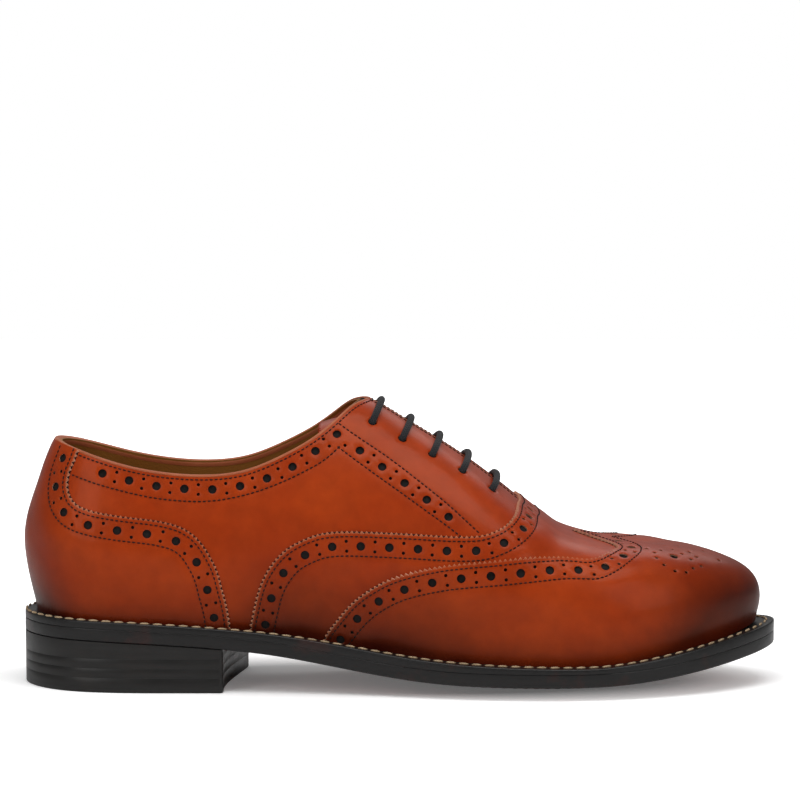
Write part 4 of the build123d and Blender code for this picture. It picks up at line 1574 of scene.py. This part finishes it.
# ---- the upper -----------------------------------------------------------------------------------
@dataclass
class Upper:
    """Wing cap, vamp, quarters and counter with their broguing, edges and stitching."""

    finishes: Finishes
    pitch: float = 11.6
    big: float = 1.75
    small: float = 0.68
    row_one: float = 2.3
    holes: float = 6.1
    row_two: float = 10.0
    under: float = 3.2
    hidden_step: float = 2.2            # spacing of points on edges that lie under another piece
    end_room: float = 4.5               # from the ends of an edge to its first hole
    collar_row: float = 1.7
    facing_row: float = 2.2
    facing_end: float = 53.5
    quarter_thickness: float = 1.2
    rows: list[tuple[Array, Array]] = field(default_factory=list)

    def stitch(self, seam: Seam, panel: Panel) -> None:
        """Notes a row of stitches on a panel's face.

        Args:
            seam: the row's line.
            panel: the leather it is sewn through.
        """
        if len(seam.s) < 4:
            LOG.warning("no room for a row of stitches on %s", panel.name)
            return
        fine = seam.even(1.2)
        height = panel.heights(fine.s, fine.t)
        self.rows.append((fine.raised(height + .1), LAST.outward(fine.s, fine.t)))

    def finish(self, made: Object, *nodes: str) -> None:
        """Rides a leather piece on the shoe and hides the CAD nodes it replaces.

        Args:
            made: the piece.
            nodes: the CAD nodes it replaces.
        """
        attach(made, "shoe")
        if nodes:
            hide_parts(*nodes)
        LOG.info("%s: %d faces", made.name, len(made.data.polygons))

    def shade_strip(self, name: str, seam: Seam, start: float = 0.3, end: float = 10.9) -> None:
        """A thin black strip of painted shade under a row of holes, along a raised edge, dark through the
        holes and in the valleys between the pinked teeth.

        Args:
            name: piece name.
            seam: the raised edge.
            start: first distance from the edge.
            end: last distance from the edge.
        """
        base = seam.at(np.linspace(0, 1, max(int(seam.length / 2.5), 4)))
        self.strip(name, [base.moved(float(d), clean=False, hold=True).raised(.03)
                          for d in np.linspace(start, end, 6)], .12)

    def strip(self, name: str, rows: Sequence[Array], thickness: float) -> None:
        """A thin black strip of painted shade through rows of points.

        Args:
            name: piece name.
            rows: rows of points of one length.
            thickness: in millimetres.
        """
        made = mesh_object(name, np.concatenate(rows), ring_faces(len(rows), len(rows[0]), False),
                           [self.finishes.shade_strip])
        solid = made.modifiers.new("thickness", "SOLIDIFY")
        solid.thickness = thickness * MM
        applied(made)
        outward_faces(made.data)
        made.data.shade_smooth()
        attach(made, "shoe")
        LOG.info("%s: %d faces", made.name, len(made.data.polygons))

    def edge_holes(self, seam: Seam) -> list[Punch]:
        """The holes along a whole pinked edge."""
        holes = seam.moved(self.holes)
        room = self.end_room / holes.length
        return rows_of_holes(holes.between(room, 1 - room), self.pitch, self.big, self.small)

    def cap(self, wing: Seam, vamp: Panel) -> Panel:
        """The wing cap over the toe, its back edge on the vamp.

        Args:
            wing: its back edge.
            vamp: the panel below.

        Returns:
            The panel.
        """
        bottom = hem(wing.s[-1], 2 + wing.s[0])
        punches = self.edge_holes(wing)
        for side in Side:
            for points, radius in ((MEDALLION_BIG, self.big), (MEDALLION, self.small)):
                punches += punched(plan_line(points, side), radius)
        first, second = wing.moved(self.row_one), wing.moved(self.row_two)
        panel = Panel("toe_cap_leather", pinked(wing).plus(bottom), punches, [wing], [first, second],
                      over=vamp)
        made = panel.build([self.finishes.calf, self.finishes.cut])
        self.finish(made, "toe_cap")
        self.stitch(first, panel)
        self.stitch(second, panel)
        self.shade_strip("wing_shade_strip", wing)
        return panel

    def vamp(self, back: Seam, wing: Seam) -> Panel:
        """The vamp between the wing cap and the quarters.

        Args:
            back: its edge on the quarters.
            wing: the wing cap's edge.

        Returns:
            The panel.
        """
        front = wing.moved(self.under).even(self.hidden_step).back()
        right, left = hem(back.s[-1], front.s[0]), hem(front.s[-1], back.s[0])
        border = pinked(back).plus(right).plus(front).plus(left)
        punches = self.edge_holes(back)
        first, second = back.moved(self.row_one), back.moved(self.row_two)
        panel = Panel("vamp_leather", border, punches, [back], [first, second], fade=(12.5, 22.0))
        made = panel.build([self.finishes.calf, self.finishes.cut])
        self.finish(made, "vamp")
        self.stitch(first, panel)
        self.stitch(second, panel)
        self.shade_strip("vamp_shade_strip", back)
        return panel

    def counter(self, edges: dict[Side, Seam]) -> Panel:
        """The heel counter that wraps the back.

        Args:
            edges: its edge on each side.

        Returns:
            The panel.
        """
        outer, inner = edges[Side.OUTER], edges[Side.INNER]
        top = self.collar_between(outer, inner)
        bottom = hem(inner.s[-1], outer.s[-1])
        border = pinked(outer).back().plus(top).plus(pinked(inner.back()).back()).plus(bottom)
        punches, first, second = [], [], []
        low_end, high_end = .035, .94
        for side, seam in edges.items():
            sign = -side.value
            holes = seam.moved(sign * self.holes).between(low_end, high_end)
            punches += rows_of_holes(holes, self.pitch, self.big, self.small)
            first.append(seam.moved(sign * self.row_one))
            second.append(seam.moved(sign * self.row_two))
        panel = Panel("heel_counter_leather", border, punches, [outer, inner], [*first, *second])
        made = panel.build([self.finishes.calf, self.finishes.cut])
        self.finish(made, "heel_counter")
        for seam in (*first, *second):
            self.stitch(seam, panel)
        for side, seam in edges.items():
            up = seam if side is Side.OUTER else seam.back()
            self.shade_strip(f"counter_backing_{side.name.lower()}", up)
        return panel

    @staticmethod
    def collar_between(outer: Seam, inner: Seam) -> Seam:
        """The top line round the heel between the two counter edges.

        Args:
            outer: counter edge on the outer side.
            inner: counter edge on the inner side.

        Returns:
            The seam.
        """
        left, right = collar_line(Side.OUTER), collar_line(Side.INNER)
        left = left.kept(left.s > outer.s[0])
        right = right.kept(right.s < inner.s[0])
        return left.back().plus(Seam(right.s[1:], right.t[1:])).even(1.6)

    def quarter(self, side: Side, back: Seam, vamp: Seam) -> Panel:
        """One quarter with its collar band, facing band and lace holes.

        Args:
            side: which side of the shoe.
            back: the counter's edge.
            vamp: the vamp's edge.

        Returns:
            The panel.
        """
        name, sign = f"{side.name.lower()}_side", side.value
        hidden = back.moved(-sign * self.under).even(self.hidden_step)
        collar = collar_line(side)
        collar = collar.kept(sign * collar.s > sign * hidden.s[0]).even(1.4)
        ridge_x = np.arange(collar.points[-1][0] + 1.2, self.facing_end, 2.0)
        facing = plan_line([(x, FACING_EDGE) for x in ridge_x], side)
        half = vamp.between(0, .5) if side is Side.OUTER else vamp.between(.5, 1).back()
        under = half.moved(-sign * self.under).even(self.hidden_step)
        under = under.kept((sign * under.points[:, 1] > FACING_EDGE + .6) & (under.t > HEM + .004))
        under = Seam(np.r_[under.s[0], under.s], np.r_[HEM, under.t])
        facing = facing.kept(facing.points[:, 0] < under.points[-1][0] - .5)
        bottom = hem(under.s[0], hidden.s[-1])
        border = hidden.back().plus(collar).plus(facing).plus(under.back()).plus(bottom)
        punches = []
        for line in (COLLAR_HOLES, FACING_HOLES):
            row = side_line(line, side, 120)
            punches += rows_of_holes(row, row.length / (len(line) - 1), self.big, self.small)
        join = side_line([COLLAR_HOLES[-1], FACING_HOLES[0]], side, 30).between(.48, .52)
        punches += punched(join.moved(np.full(len(join.s), 1.9), clean=False), self.small)[:1]
        for spot in EYELETS:
            punches += punched(plan_line([spot], side), EYELET_HOLE / 2)
        lines = [collar.moved(-sign * self.collar_row).even(1.2),
                 facing.moved(-sign * self.facing_row).even(1.2)]
        for points in (FACING_HIGH, FACING_LOW, COLLAR_LOW):
            lines.append(side_line(points, side, 110).even(1.0))
        panel = Panel(f"quarter_leather_{name}", border, punches, [], lines, groove=.13,
                      thickness=self.quarter_thickness)
        made = panel.build([self.finishes.calf, self.finishes.cut])
        self.finish(made, f"quarter_{name}")
        polygon = LAST.flat(border.s, border.t)
        for seam in lines:
            inside = inside_polygon(LAST.flat(seam.s, seam.t), polygon)
            gap = nearest_gap(seam.points, np.concatenate([half.points, back.points]))
            self.stitch(seam.kept(inside & (gap > 1.0)), panel)
        self.shade_strip_lines(name, side)
        return panel

    def shade_strip_lines(self, name: str, side: Side) -> None:
        """Black strips of painted shade inside the quarter, seen through its two rows of holes.

        Args:
            name: the side's name.
            side: which side of the shoe.
        """
        for label, line in (("collar", COLLAR_HOLES), ("facing", FACING_HOLES)):
            row = side_line(line, side, 60)
            base = row.at(np.linspace(0, 1, 40))
            inside = -(self.quarter_thickness + .02)
            self.strip(f"{label}_backing_{name}", [base.moved(np.full(40, d), clean=False).raised(inside)
                                                   for d in (-3.4, -1.7, 0, 1.7, 3.4)], .06)

    def binding(self) -> None:
        """The folded edge round the opening, over leather and lining."""
        left, right = collar_line(Side.OUTER), collar_line(Side.INNER)
        line = left.back().plus(Seam(right.s[1:], right.t[1:])).even(1.6)
        up = line.across()
        out, p = LAST.outward(line.s, line.t), line.points
        section = [(-.05, -.55), (.12, -.25), (.13, .05), (-.06, .38), (-.6, .6), (-1.4, .66), (-2.2, .56),
                   (-2.85, .2), (-3.08, -.6), (-3.0, -1.8), (-2.0, -1.6), (-1.0, -1.0)]
        rows = [p + out * n + up * b for n, b in section]
        count = len(p)
        points = np.stack(rows, 1).reshape(-1, 3)
        faces = ring_faces(count, len(section))
        ends = (0, (count - 1) * len(section))
        faces += [tuple(start + i for i in range(len(section))) for start in ends]
        made = mesh_object("collar_binding", points, faces, [self.finishes.binding])
        outward_faces(made.data)
        smooth(made.data, 60)
        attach(made, "shoe")

    def build(self) -> None:
        """Makes the whole upper."""
        wing = saddle(WING_SIDE, WING_TOP)
        back = saddle(VAMP_SIDE, VAMP_TOP)
        edges = {}
        for side in Side:
            line = side_line(COUNTER_LINE, side, 200)
            collar = collar_line(side)
            limit = np.interp(line.s * side.value, collar.s * side.value, collar.t)
            line = line.kept((line.t < limit) & (line.t > HEM + .004))
            edges[side] = Seam(np.r_[line.s, line.s[-1]], np.r_[line.t, HEM]).even(1.0)
        self.cap(wing, self.vamp(back, wing))
        self.counter(edges)
        for side in Side:
            self.quarter(side, edges[side], back)
        self.binding()
        made = Stitching("upper_stitches", self.finishes.brown_thread).build(self.rows)
        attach(made, "shoe")


# ---- the bottom ----------------------------------------------------------------------------------
@dataclass
class Bottom:
    """Welt, outsole and stacked heel."""

    finishes: Finishes
    count: int = 620
    margin: Curve = field(default_factory=lambda: Curve(SOLE_MARGIN))
    welt: Curve = field(default_factory=lambda: Curve(WELT_TOP))
    edge: Curve = field(default_factory=lambda: Curve(SOLE_EDGE))
    middle: Curve = field(default_factory=lambda: Curve(SOLE_MIDDLE))

    def under(self, p: Array) -> Array:
        """Height of the outsole's crowned underside."""
        edge, middle = self.edge(p[:, 0]), self.middle(p[:, 0])
        return middle + (edge - middle) * (p[:, 1] / 50) ** 2

    def row(self, inset: float, height: Callable[[Array], Array]) -> Array:
        """Points around the sole at an inset from its edge."""
        p = LAST.rim(lambda x: self.margin(x) - inset, self.count)
        return np.c_[p, height(p)]

    def settle(self, made: Object, slot: str, *nodes: str) -> None:
        """Rides a piece on the shoe.

        Args:
            made: the piece.
            slot: its material slot; not used.
            nodes: the CAD nodes it replaces.
        """
        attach(made, "shoe")
        if nodes:
            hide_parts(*nodes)
        LOG.info("%s: %d faces", made.name, len(made.data.polygons))

    def make_welt(self) -> None:
        """The welt, a ring with eased edges and a dressed top."""
        top, low = lambda p: self.welt(p[:, 0]), lambda p: self.under(p) + OUTSOLE
        rows = [(10.5, top, -.3), (3.2, top, -.05), (1.0, top, 0), (.45, top, -.08), (.12, top, -.32),
                (0, top, -.75), (0, low, .5), (.05, low, .12), (.2, low, 0), (4.0, low, 0), (10.5, low, 0)]
        points = np.concatenate([self.row(inset, lambda p: face(p) + lift) for inset, face, lift in rows])
        faces = ring_faces(len(rows), self.count)
        end = (len(rows) - 1) * self.count
        faces += [(i, j, end + j, end + i) for i, j in ((i, (i + 1) % self.count) for i in range(self.count))]
        made = mesh_object("welt_leather", points, faces, [self.finishes.edge])
        outward_faces(made.data)
        smooth(made.data, 50)
        self.settle(made, "black_edge_leather", "welt")

    def slab(self, name: str, rows: Sequence[Array], finishes: Sequence[Material]) -> Object:
        """A loft of closed rows, capped below and above.

        Args:
            name: piece name.
            rows: rows of points from the bottom rim up.
            finishes: wall, then underside.

        Returns:
            The piece.
        """
        count, points, caps = len(rows[0]), [*rows], []
        faces, total = ring_faces(len(rows), count), len(rows) * count
        for rim, start in ((rows[0], 0), (rows[-1], total - count)):
            box = rim[:, :2]
            xs = np.arange(box[:, 0].min() + 2, box[:, 0].max(), 4.0)
            ys = np.arange(box[:, 1].min() + 2, box[:, 1].max(), 4.0)
            grid = np.stack(np.meshgrid(xs, ys, indexing="ij"), -1).reshape(-1, 2)
            grid = grid[inside_polygon(grid, box)]
            grid = grid[nearest_gap(level(grid), level(box)) > 1.5]
            both = np.r_[box, grid]
            tri = triangles(both, [(i, (i + 1) % count) for i in range(count)])
            tri = tri[inside_polygon(both[tri].mean(1), box)]
            number = np.r_[np.arange(count) + start, np.arange(len(grid)) + total]
            caps.append([tuple(f) for f in number[tri]])
            points.append(np.c_[grid, self.cap_height(rim, grid)])
            total += len(grid)
        made = mesh_object(name, np.concatenate(points), [*faces, *caps[0], *caps[1]], finishes)
        marks = np.zeros(len(faces) + len(caps[0]) + len(caps[1]), int)
        marks[len(faces):len(faces) + len(caps[0])] = len(finishes) - 1
        made.data.polygons.foreach_set("material_index", marks[:len(made.data.polygons)])
        outward_faces(made.data)
        smooth(made.data, 50)
        return made

    def cap_height(self, rim: Array, grid: Array) -> Array:
        """Height of a cap's inner points: the sole's crown, moved to meet its rim.

        Args:
            rim: the cap's outline, N by 3.
            grid: inner places, M by 2.

        Returns:
            M heights.
        """
        if not len(grid):
            return np.zeros(0)
        pick = ((grid[:, None] - rim[None, :, :2]) ** 2).sum(-1).argmin(1)
        if np.ptp(rim[:, 2]) < .3:
            return rim[pick, 2]
        lift = rim[pick, 2] - self.under(rim[pick])
        return self.under(level(grid)) + lift

    def make_outsole(self) -> None:
        """The outsole with rounded edges and a stained underside."""
        rows = [self.row(inset, lambda p: self.under(p) + height) for inset, height in (
            (1.5, 0), (.75, .05), (.2, .35), (0, .9), (0, OUTSOLE - .5), (.05, OUTSOLE - .12), (.2, OUTSOLE))]
        made = self.slab("outsole_leather", rows, [self.finishes.edge, self.finishes.sole])
        co = np.array([v.co for v in made.data.vertices]) / MM
        gap = nearest_gap(level(co), level(rows[3]))
        paint(made, "rim", 1 - eased((gap - 1.2) / 2.2))
        self.settle(made, "black_edge_leather", "outsole")

    def heel_outline(self) -> Array:
        """Plan of the heel: the sole's edge behind the breast, with soft corners.

        Returns:
            Points, N by 2.
        """
        rim = LAST.rim(self.margin, 1400)
        front = Curve([(y, x) for x, y in BREAST])
        keep = rim[rim[:, 0] < front(rim[:, 1])]
        across = np.linspace(keep[-1, 1], keep[0, 1], 60)[1:-1]
        loop = np.r_[keep, np.c_[front(across), across]]
        loop = np.r_[loop, loop[:1]]
        way = shares_along(loop)
        even = np.stack([np.interp(np.linspace(0, 1, 321), way, loop[:, k]) for k in range(2)], -1)[:-1]
        for _ in range(3):
            even = even * .5 + (np.roll(even, 1, 0) + np.roll(even, -1, 0)) * .25
        return even

    def make_heel(self) -> None:
        """Top piece and three lifts, each with eased edges."""
        outline = self.heel_outline()
        side = np.roll(outline, -1, 0) - np.roll(outline, 1, 0)
        square = unit(np.stack([side[:, 1], -side[:, 0]], -1))
        middle = outline.mean(0)
        if ((outline - middle) * square).sum() < 0:
            square = -square

        def ring(inset: float, height: float, under: bool = False) -> Array:
            """The outline moved in, at a height, or that far above the sole's underside."""
            p = outline - square * inset
            return np.c_[p, self.under(p) + height if under else np.full(len(p), height)]

        step = (float(self.edge(-73)) - TOP_PIECE) / LIFTS
        levels = [0, *(TOP_PIECE + step * i for i in range(LIFTS))]
        for i, low in enumerate(levels):
            ease, top = (.5 if i == 0 else .015), (i == LIFTS)
            near, high = (-.25, -.02) if top else (levels[i + 1] - .05, levels[i + 1] - .01)
            rows = [ring(ease * 1.4, low), ring(ease * .4, low + ease * .3), ring(0, low + ease),
                    ring(0, near, top), ring(.03, high, top)]
            if i == 0:
                made = self.slab("heel_top_piece_rubber", rows, [self.finishes.heel, self.finishes.rubber])
                self.settle(made, "black_rubber", "heel_top_piece")
            else:
                made = self.slab(f"heel_lift_leather_{i}", rows, [self.finishes.heel, self.finishes.heel])
                self.settle(made, "black_edge_leather", f"heel_lift_{i}")

    def make_stitches(self) -> None:
        """Outsole stitches on the welt and the channel row underneath."""
        inset = Curve(STITCH_INSET)
        p = LAST.rim(lambda x: self.margin(x) - inset(x), self.count)
        points = np.c_[p, self.welt(p[:, 0]) + .12]
        up = np.tile([0.0, 0, 1], (len(p), 1))
        row = Stitching("welt_stitches", self.finishes.tan_thread, 5.2, 4.1, .5, .12)
        made = row.build([(points, up)], closed=True)
        self.settle(made, "sole_leather")
        channel, heel_end = 6.5, -58
        q = LAST.rim(lambda x: self.margin(x) - channel, self.count)
        q = q[q[:, 0] > heel_end]
        q = q[np.argsort(np.arctan2(q[:, 1], q[:, 0] - 40))]
        start = int(np.argmax(np.linalg.norm(np.roll(q, -1, 0) - q, axis=1))) + 1
        q = np.roll(q, -start, 0)
        row = Stitching("sole_stitches", self.finishes.brown_thread, 4.2, 3.2, .21)
        made = row.build([(np.c_[q, self.under(q) + .13], -up[:len(q)])])
        self.settle(made, "sole_leather")

    def build(self) -> None:
        """Makes the whole bottom."""
        self.make_welt()
        self.make_outsole()
        self.make_heel()
        self.make_stitches()


# ---- tongue and lace -----------------------------------------------------------------------------
@dataclass
class Tongue:
    """The tongue with its lining."""

    finishes: Finishes
    start: float = -33.0
    end: float = 60.0
    leather: float = 1.2
    lining: float = 0.8
    teeth: float = 1.3

    def point(self, x: Array, v: Array, drop: float) -> Array:
        """Point of the tongue below its top face.

        Args:
            x: place along the shoe.
            v: share of the half width, -1 to 1.
            drop: depth below the top face.

        Returns:
            Points, N by 3.
        """
        half, top, bow = Curve(TONGUE_HALF), Curve(TONGUE_TOP), Curve(TONGUE_ROUND)
        y = v * half(x)
        return np.stack(np.broadcast_arrays(x, y, top(x) - bow(x) * y * y - drop), -1)

    def sheet(self, name: str, low: float, high: float, teeth: float, finish: Material) -> Object:
        """A curved strip between two depths with a toothed top end.

        Args:
            name: piece name.
            low: depth of its top face.
            high: depth of its underside.
            teeth: depth of the teeth.
            finish: its material.

        Returns:
            The piece.
        """
        nx, nv = 64, 41
        v = np.linspace(-1, 1, nv)[None]
        zig = teeth * (np.arange(nv) % 2)[None]
        x = np.linspace(0, 1, nx)[:, None]
        x = self.start + zig * (1 - x) ** 12 + (self.end - self.start) * x
        top, bottom = self.point(x, v, low).reshape(-1, 3), self.point(x, v, high).reshape(-1, 3)
        count = nx * nv
        faces = [(k, k + nv, k + nv + 1, k + 1)
                 for i in range(nx - 1) for k in range(i * nv, i * nv + nv - 1)]
        faces += [tuple(count + k for k in reversed(f)) for f in faces]
        loop = [*range(nv)] + [i * nv + nv - 1 for i in range(1, nx)]
        loop += [(nx - 1) * nv + j for j in range(nv - 2, -1, -1)] + [i * nv for i in range(nx - 2, 0, -1)]
        faces += [(a, b, b + count, a + count) for a, b in zip(loop, loop[1:] + loop[:1])]
        made = mesh_object(name, np.r_[top, bottom], faces, [finish])
        outward_faces(made.data)
        smooth(made.data, 40)
        # the same darkening share as the panels' burnishing and painted shade, held even over the tongue
        paint(made, "burnish", np.full(len(made.data.vertices), .12))
        return made

    def build(self) -> None:
        """Makes both layers."""
        full = self.leather + self.lining
        outer = self.sheet("tongue_leather", 0, self.leather - .02, self.teeth, self.finishes.calf)
        inner = self.sheet("tongue_lining_leather", self.leather, full, 0, self.finishes.lining)
        for made, slot, nodes in ((outer, "tan_leather", ("tongue", "tongue_root")),
                                  (inner, "lining_leather", ("tongue_lining",))):
            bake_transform(made)
            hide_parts(*nodes)
            LOG.info("%s: %d faces", made.name, len(made.data.polygons))


@dataclass
class Lace:
    """The waxed cotton lace, straight-bar laced, its ends tucked down inside."""

    finishes: Finishes

    @staticmethod
    def route() -> list[tuple[float, float, float]]:
        """The lace's points from end to end.

        Returns:
            Points in millimetres.
        """
        points = list(LACE_START)
        for i, steps in enumerate(LACE_STEPS):
            side = 1 if i % 2 else -1
            points += [(x, side * y, z) for x, y, z in steps]
            points += [(x, -side * y, z) for x, y, z in reversed(steps[:-1])]
        return points + LACE_END

    def build(self) -> None:
        """Makes the lace."""
        points = self.route()
        curve = bpy.data.curves.new("lace_cord", "CURVE")
        curve.dimensions = "3D"
        spline = curve.splines.new("NURBS")
        spline.points.add(len(points) - 1)
        for place, p in zip(spline.points, points):
            place.co = (p[0] * MM, p[1] * MM, p[2] * MM, 1)
        spline.order_u = 3
        spline.use_endpoint_u = True
        spline.resolution_u = 10
        curve.bevel_depth = LACE / 2 * MM
        curve.bevel_resolution = 5
        curve.use_fill_caps = True
        curve.materials.append(self.finishes.lace)
        made = bpy.data.objects.new("lace_cord", curve)
        bpy.context.scene.collection.objects.link(made)
        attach(made, "shoe")
        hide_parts("lace")


def dress_frame(finishes: Finishes) -> None:
    """Gives every carried-over node its finish.

    Args:
        finishes: the shoe's finishes.
    """
    plan = {
        finishes.board: ("toe_puff", "vamp_interlining", "heel_stiffener", "reinforcement_outer_side",
                         "reinforcement_inner_side", "insole_rib"),
        finishes.lining: ("vamp_lining", "heel_lining", "quarter_lining_outer_side",
                          "quarter_lining_inner_side"),
        finishes.sock: ("sock", "insole"),
        finishes.cork: ("cork_filler",),
        finishes.sole: ("heel_seat",),
        finishes.steel: ("shank",),
        finishes.aglet: ("aglet_start", "aglet_end"),
    }
    for finish, names in plan.items():
        for name in names:
            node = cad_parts[name]
            node.data.materials.clear()
            node.data.materials.append(finish)


@dataclass
class Studio:
    """Pale floor, soft lights and the camera."""

    centre: tuple[float, float, float] = (0.0, 0.0, 0.058)
    distance: float = 1.7
    elevation: float = 8.0
    focal: float = 188.1
    shift: float = 0.173
    reach: float = 1500.0
    # half-length and half-width in metres of the painted contact shadow round the sole
    shade: tuple[float, float] = (.150, .046)
    boxes: tuple[tuple[str, Triple, tuple[float, float], float], ...] = (
        ("top_box", (.1, -.35, 1.1), (1.0, .7), 8), ("front_left_box", (-.9, -1.1, .7), (.6, .9), 4),
        ("front_right_box", (.9, -1.0, .6), (.5, .8), 2.5), ("back_box", (.1, 1.1, .9), (1.2, .5), 2.6))

    def floor(self) -> None:
        """A wide pale floor with a painted contact shadow round the sole, seen by the camera only."""
        far = self.reach
        corners = np.array([(-far, -far, 0), (far, -far, 0), (far, far, 0), (-far, far, 0)])
        made = mesh_object("floor", corners, [(0, 1, 2, 3)], [])
        n = Nodes("studio_floor")
        tone = n.blend(n.span(n.noise(3, 2), .3, .7, 0, 1), (.93, .93, .93), (.96, .96, .96))
        n.link(tone, n.shader.inputs["Base Color"])
        n.shader.inputs["Emission Color"].default_value = WHITE
        seen = n.add("ShaderNodeLightPath").outputs["Is Camera Ray"]
        ring = n.add("ShaderNodeMapping")
        ring.inputs["Scale"].default_value = (1 / self.shade[0], 1 / self.shade[1], 1)
        n.link(n.place, ring.inputs["Vector"])
        reach = n.add("ShaderNodeVectorMath", operation="LENGTH")
        n.link(ring.outputs[0], reach.inputs[0])
        # painted contact shadow: less glow to the camera inside the ellipse round the sole
        near = n.span(reach.outputs["Value"], .75, 1.35, .12, .62)
        open_floor = n.maths("ADD", near, n.span(reach.outputs["Value"], 2.5, 9, 0, .5))
        n.link(n.maths("MULTIPLY", seen, open_floor), n.shader.inputs["Emission Strength"])
        n.set(Roughness=.9)
        made.data.materials.append(n.material)

    def light(self, name: str, place: Triple, size: tuple[float, float], power: float) -> None:
        """A soft box aimed at the shoe.

        Args:
            name: of the light.
            place: in metres.
            size: width and height in metres.
            power: in watts.
        """
        data = bpy.data.lights.new(name, "AREA")
        data.shape = "RECTANGLE"
        data.size, data.size_y = size
        data.energy = power
        made = bpy.data.objects.new(name, data)
        made.location = place
        aim = Vector((0, 0, .05)) - Vector(place)
        made.rotation_euler = aim.to_track_quat("-Z", "Y").to_euler()
        bpy.context.scene.collection.objects.link(made)

    def build(self) -> None:
        """Sets up the room."""
        self.floor()
        world = bpy.data.worlds.new("room")
        world.use_nodes = True
        nodes, link = world.node_tree.nodes, world.node_tree.links.new
        room, white = nodes["Background"], nodes.new("ShaderNodeBackground")
        for sky, strength in ((room, .22), (white, 1.0)):
            sky.inputs["Color"].default_value = WHITE
            sky.inputs["Strength"].default_value = strength
        path, pick = nodes.new("ShaderNodeLightPath"), nodes.new("ShaderNodeMixShader")
        link(path.outputs["Is Camera Ray"], pick.inputs[0])
        link(room.outputs[0], pick.inputs[1])
        link(white.outputs[0], pick.inputs[2])
        link(pick.outputs[0], nodes["World Output"].inputs[0])
        bpy.context.scene.world = world
        for box in self.boxes:
            self.light(*box)
        data = bpy.data.cameras.new("camera")
        data.lens, data.sensor_width = self.focal, 36
        data.shift_y = self.shift
        data.clip_start, data.clip_end = .05, 20
        camera = bpy.data.objects.new("camera", data)
        angle = math.radians(self.elevation)
        back = Vector((0, -math.cos(angle), math.sin(angle)))
        camera.location = Vector(self.centre) + back * self.distance
        camera.rotation_euler = (-back).to_track_quat("-Z", "Y").to_euler()
        bpy.context.scene.collection.objects.link(camera)
        bpy.context.scene.camera = camera
        bpy.context.scene.view_settings.view_transform = "Standard"


def main() -> None:
    """Builds the shoe round its frame."""
    logging.basicConfig(level=logging.INFO, format="%(message)s")
    Studio().build()
    finishes = Finishes()
    Lace(finishes).build()
    dress_frame(finishes)
    Bottom(finishes).build()
    Tongue(finishes).build()
    Upper(finishes).build()


if __name__ == "__main__":
    main()
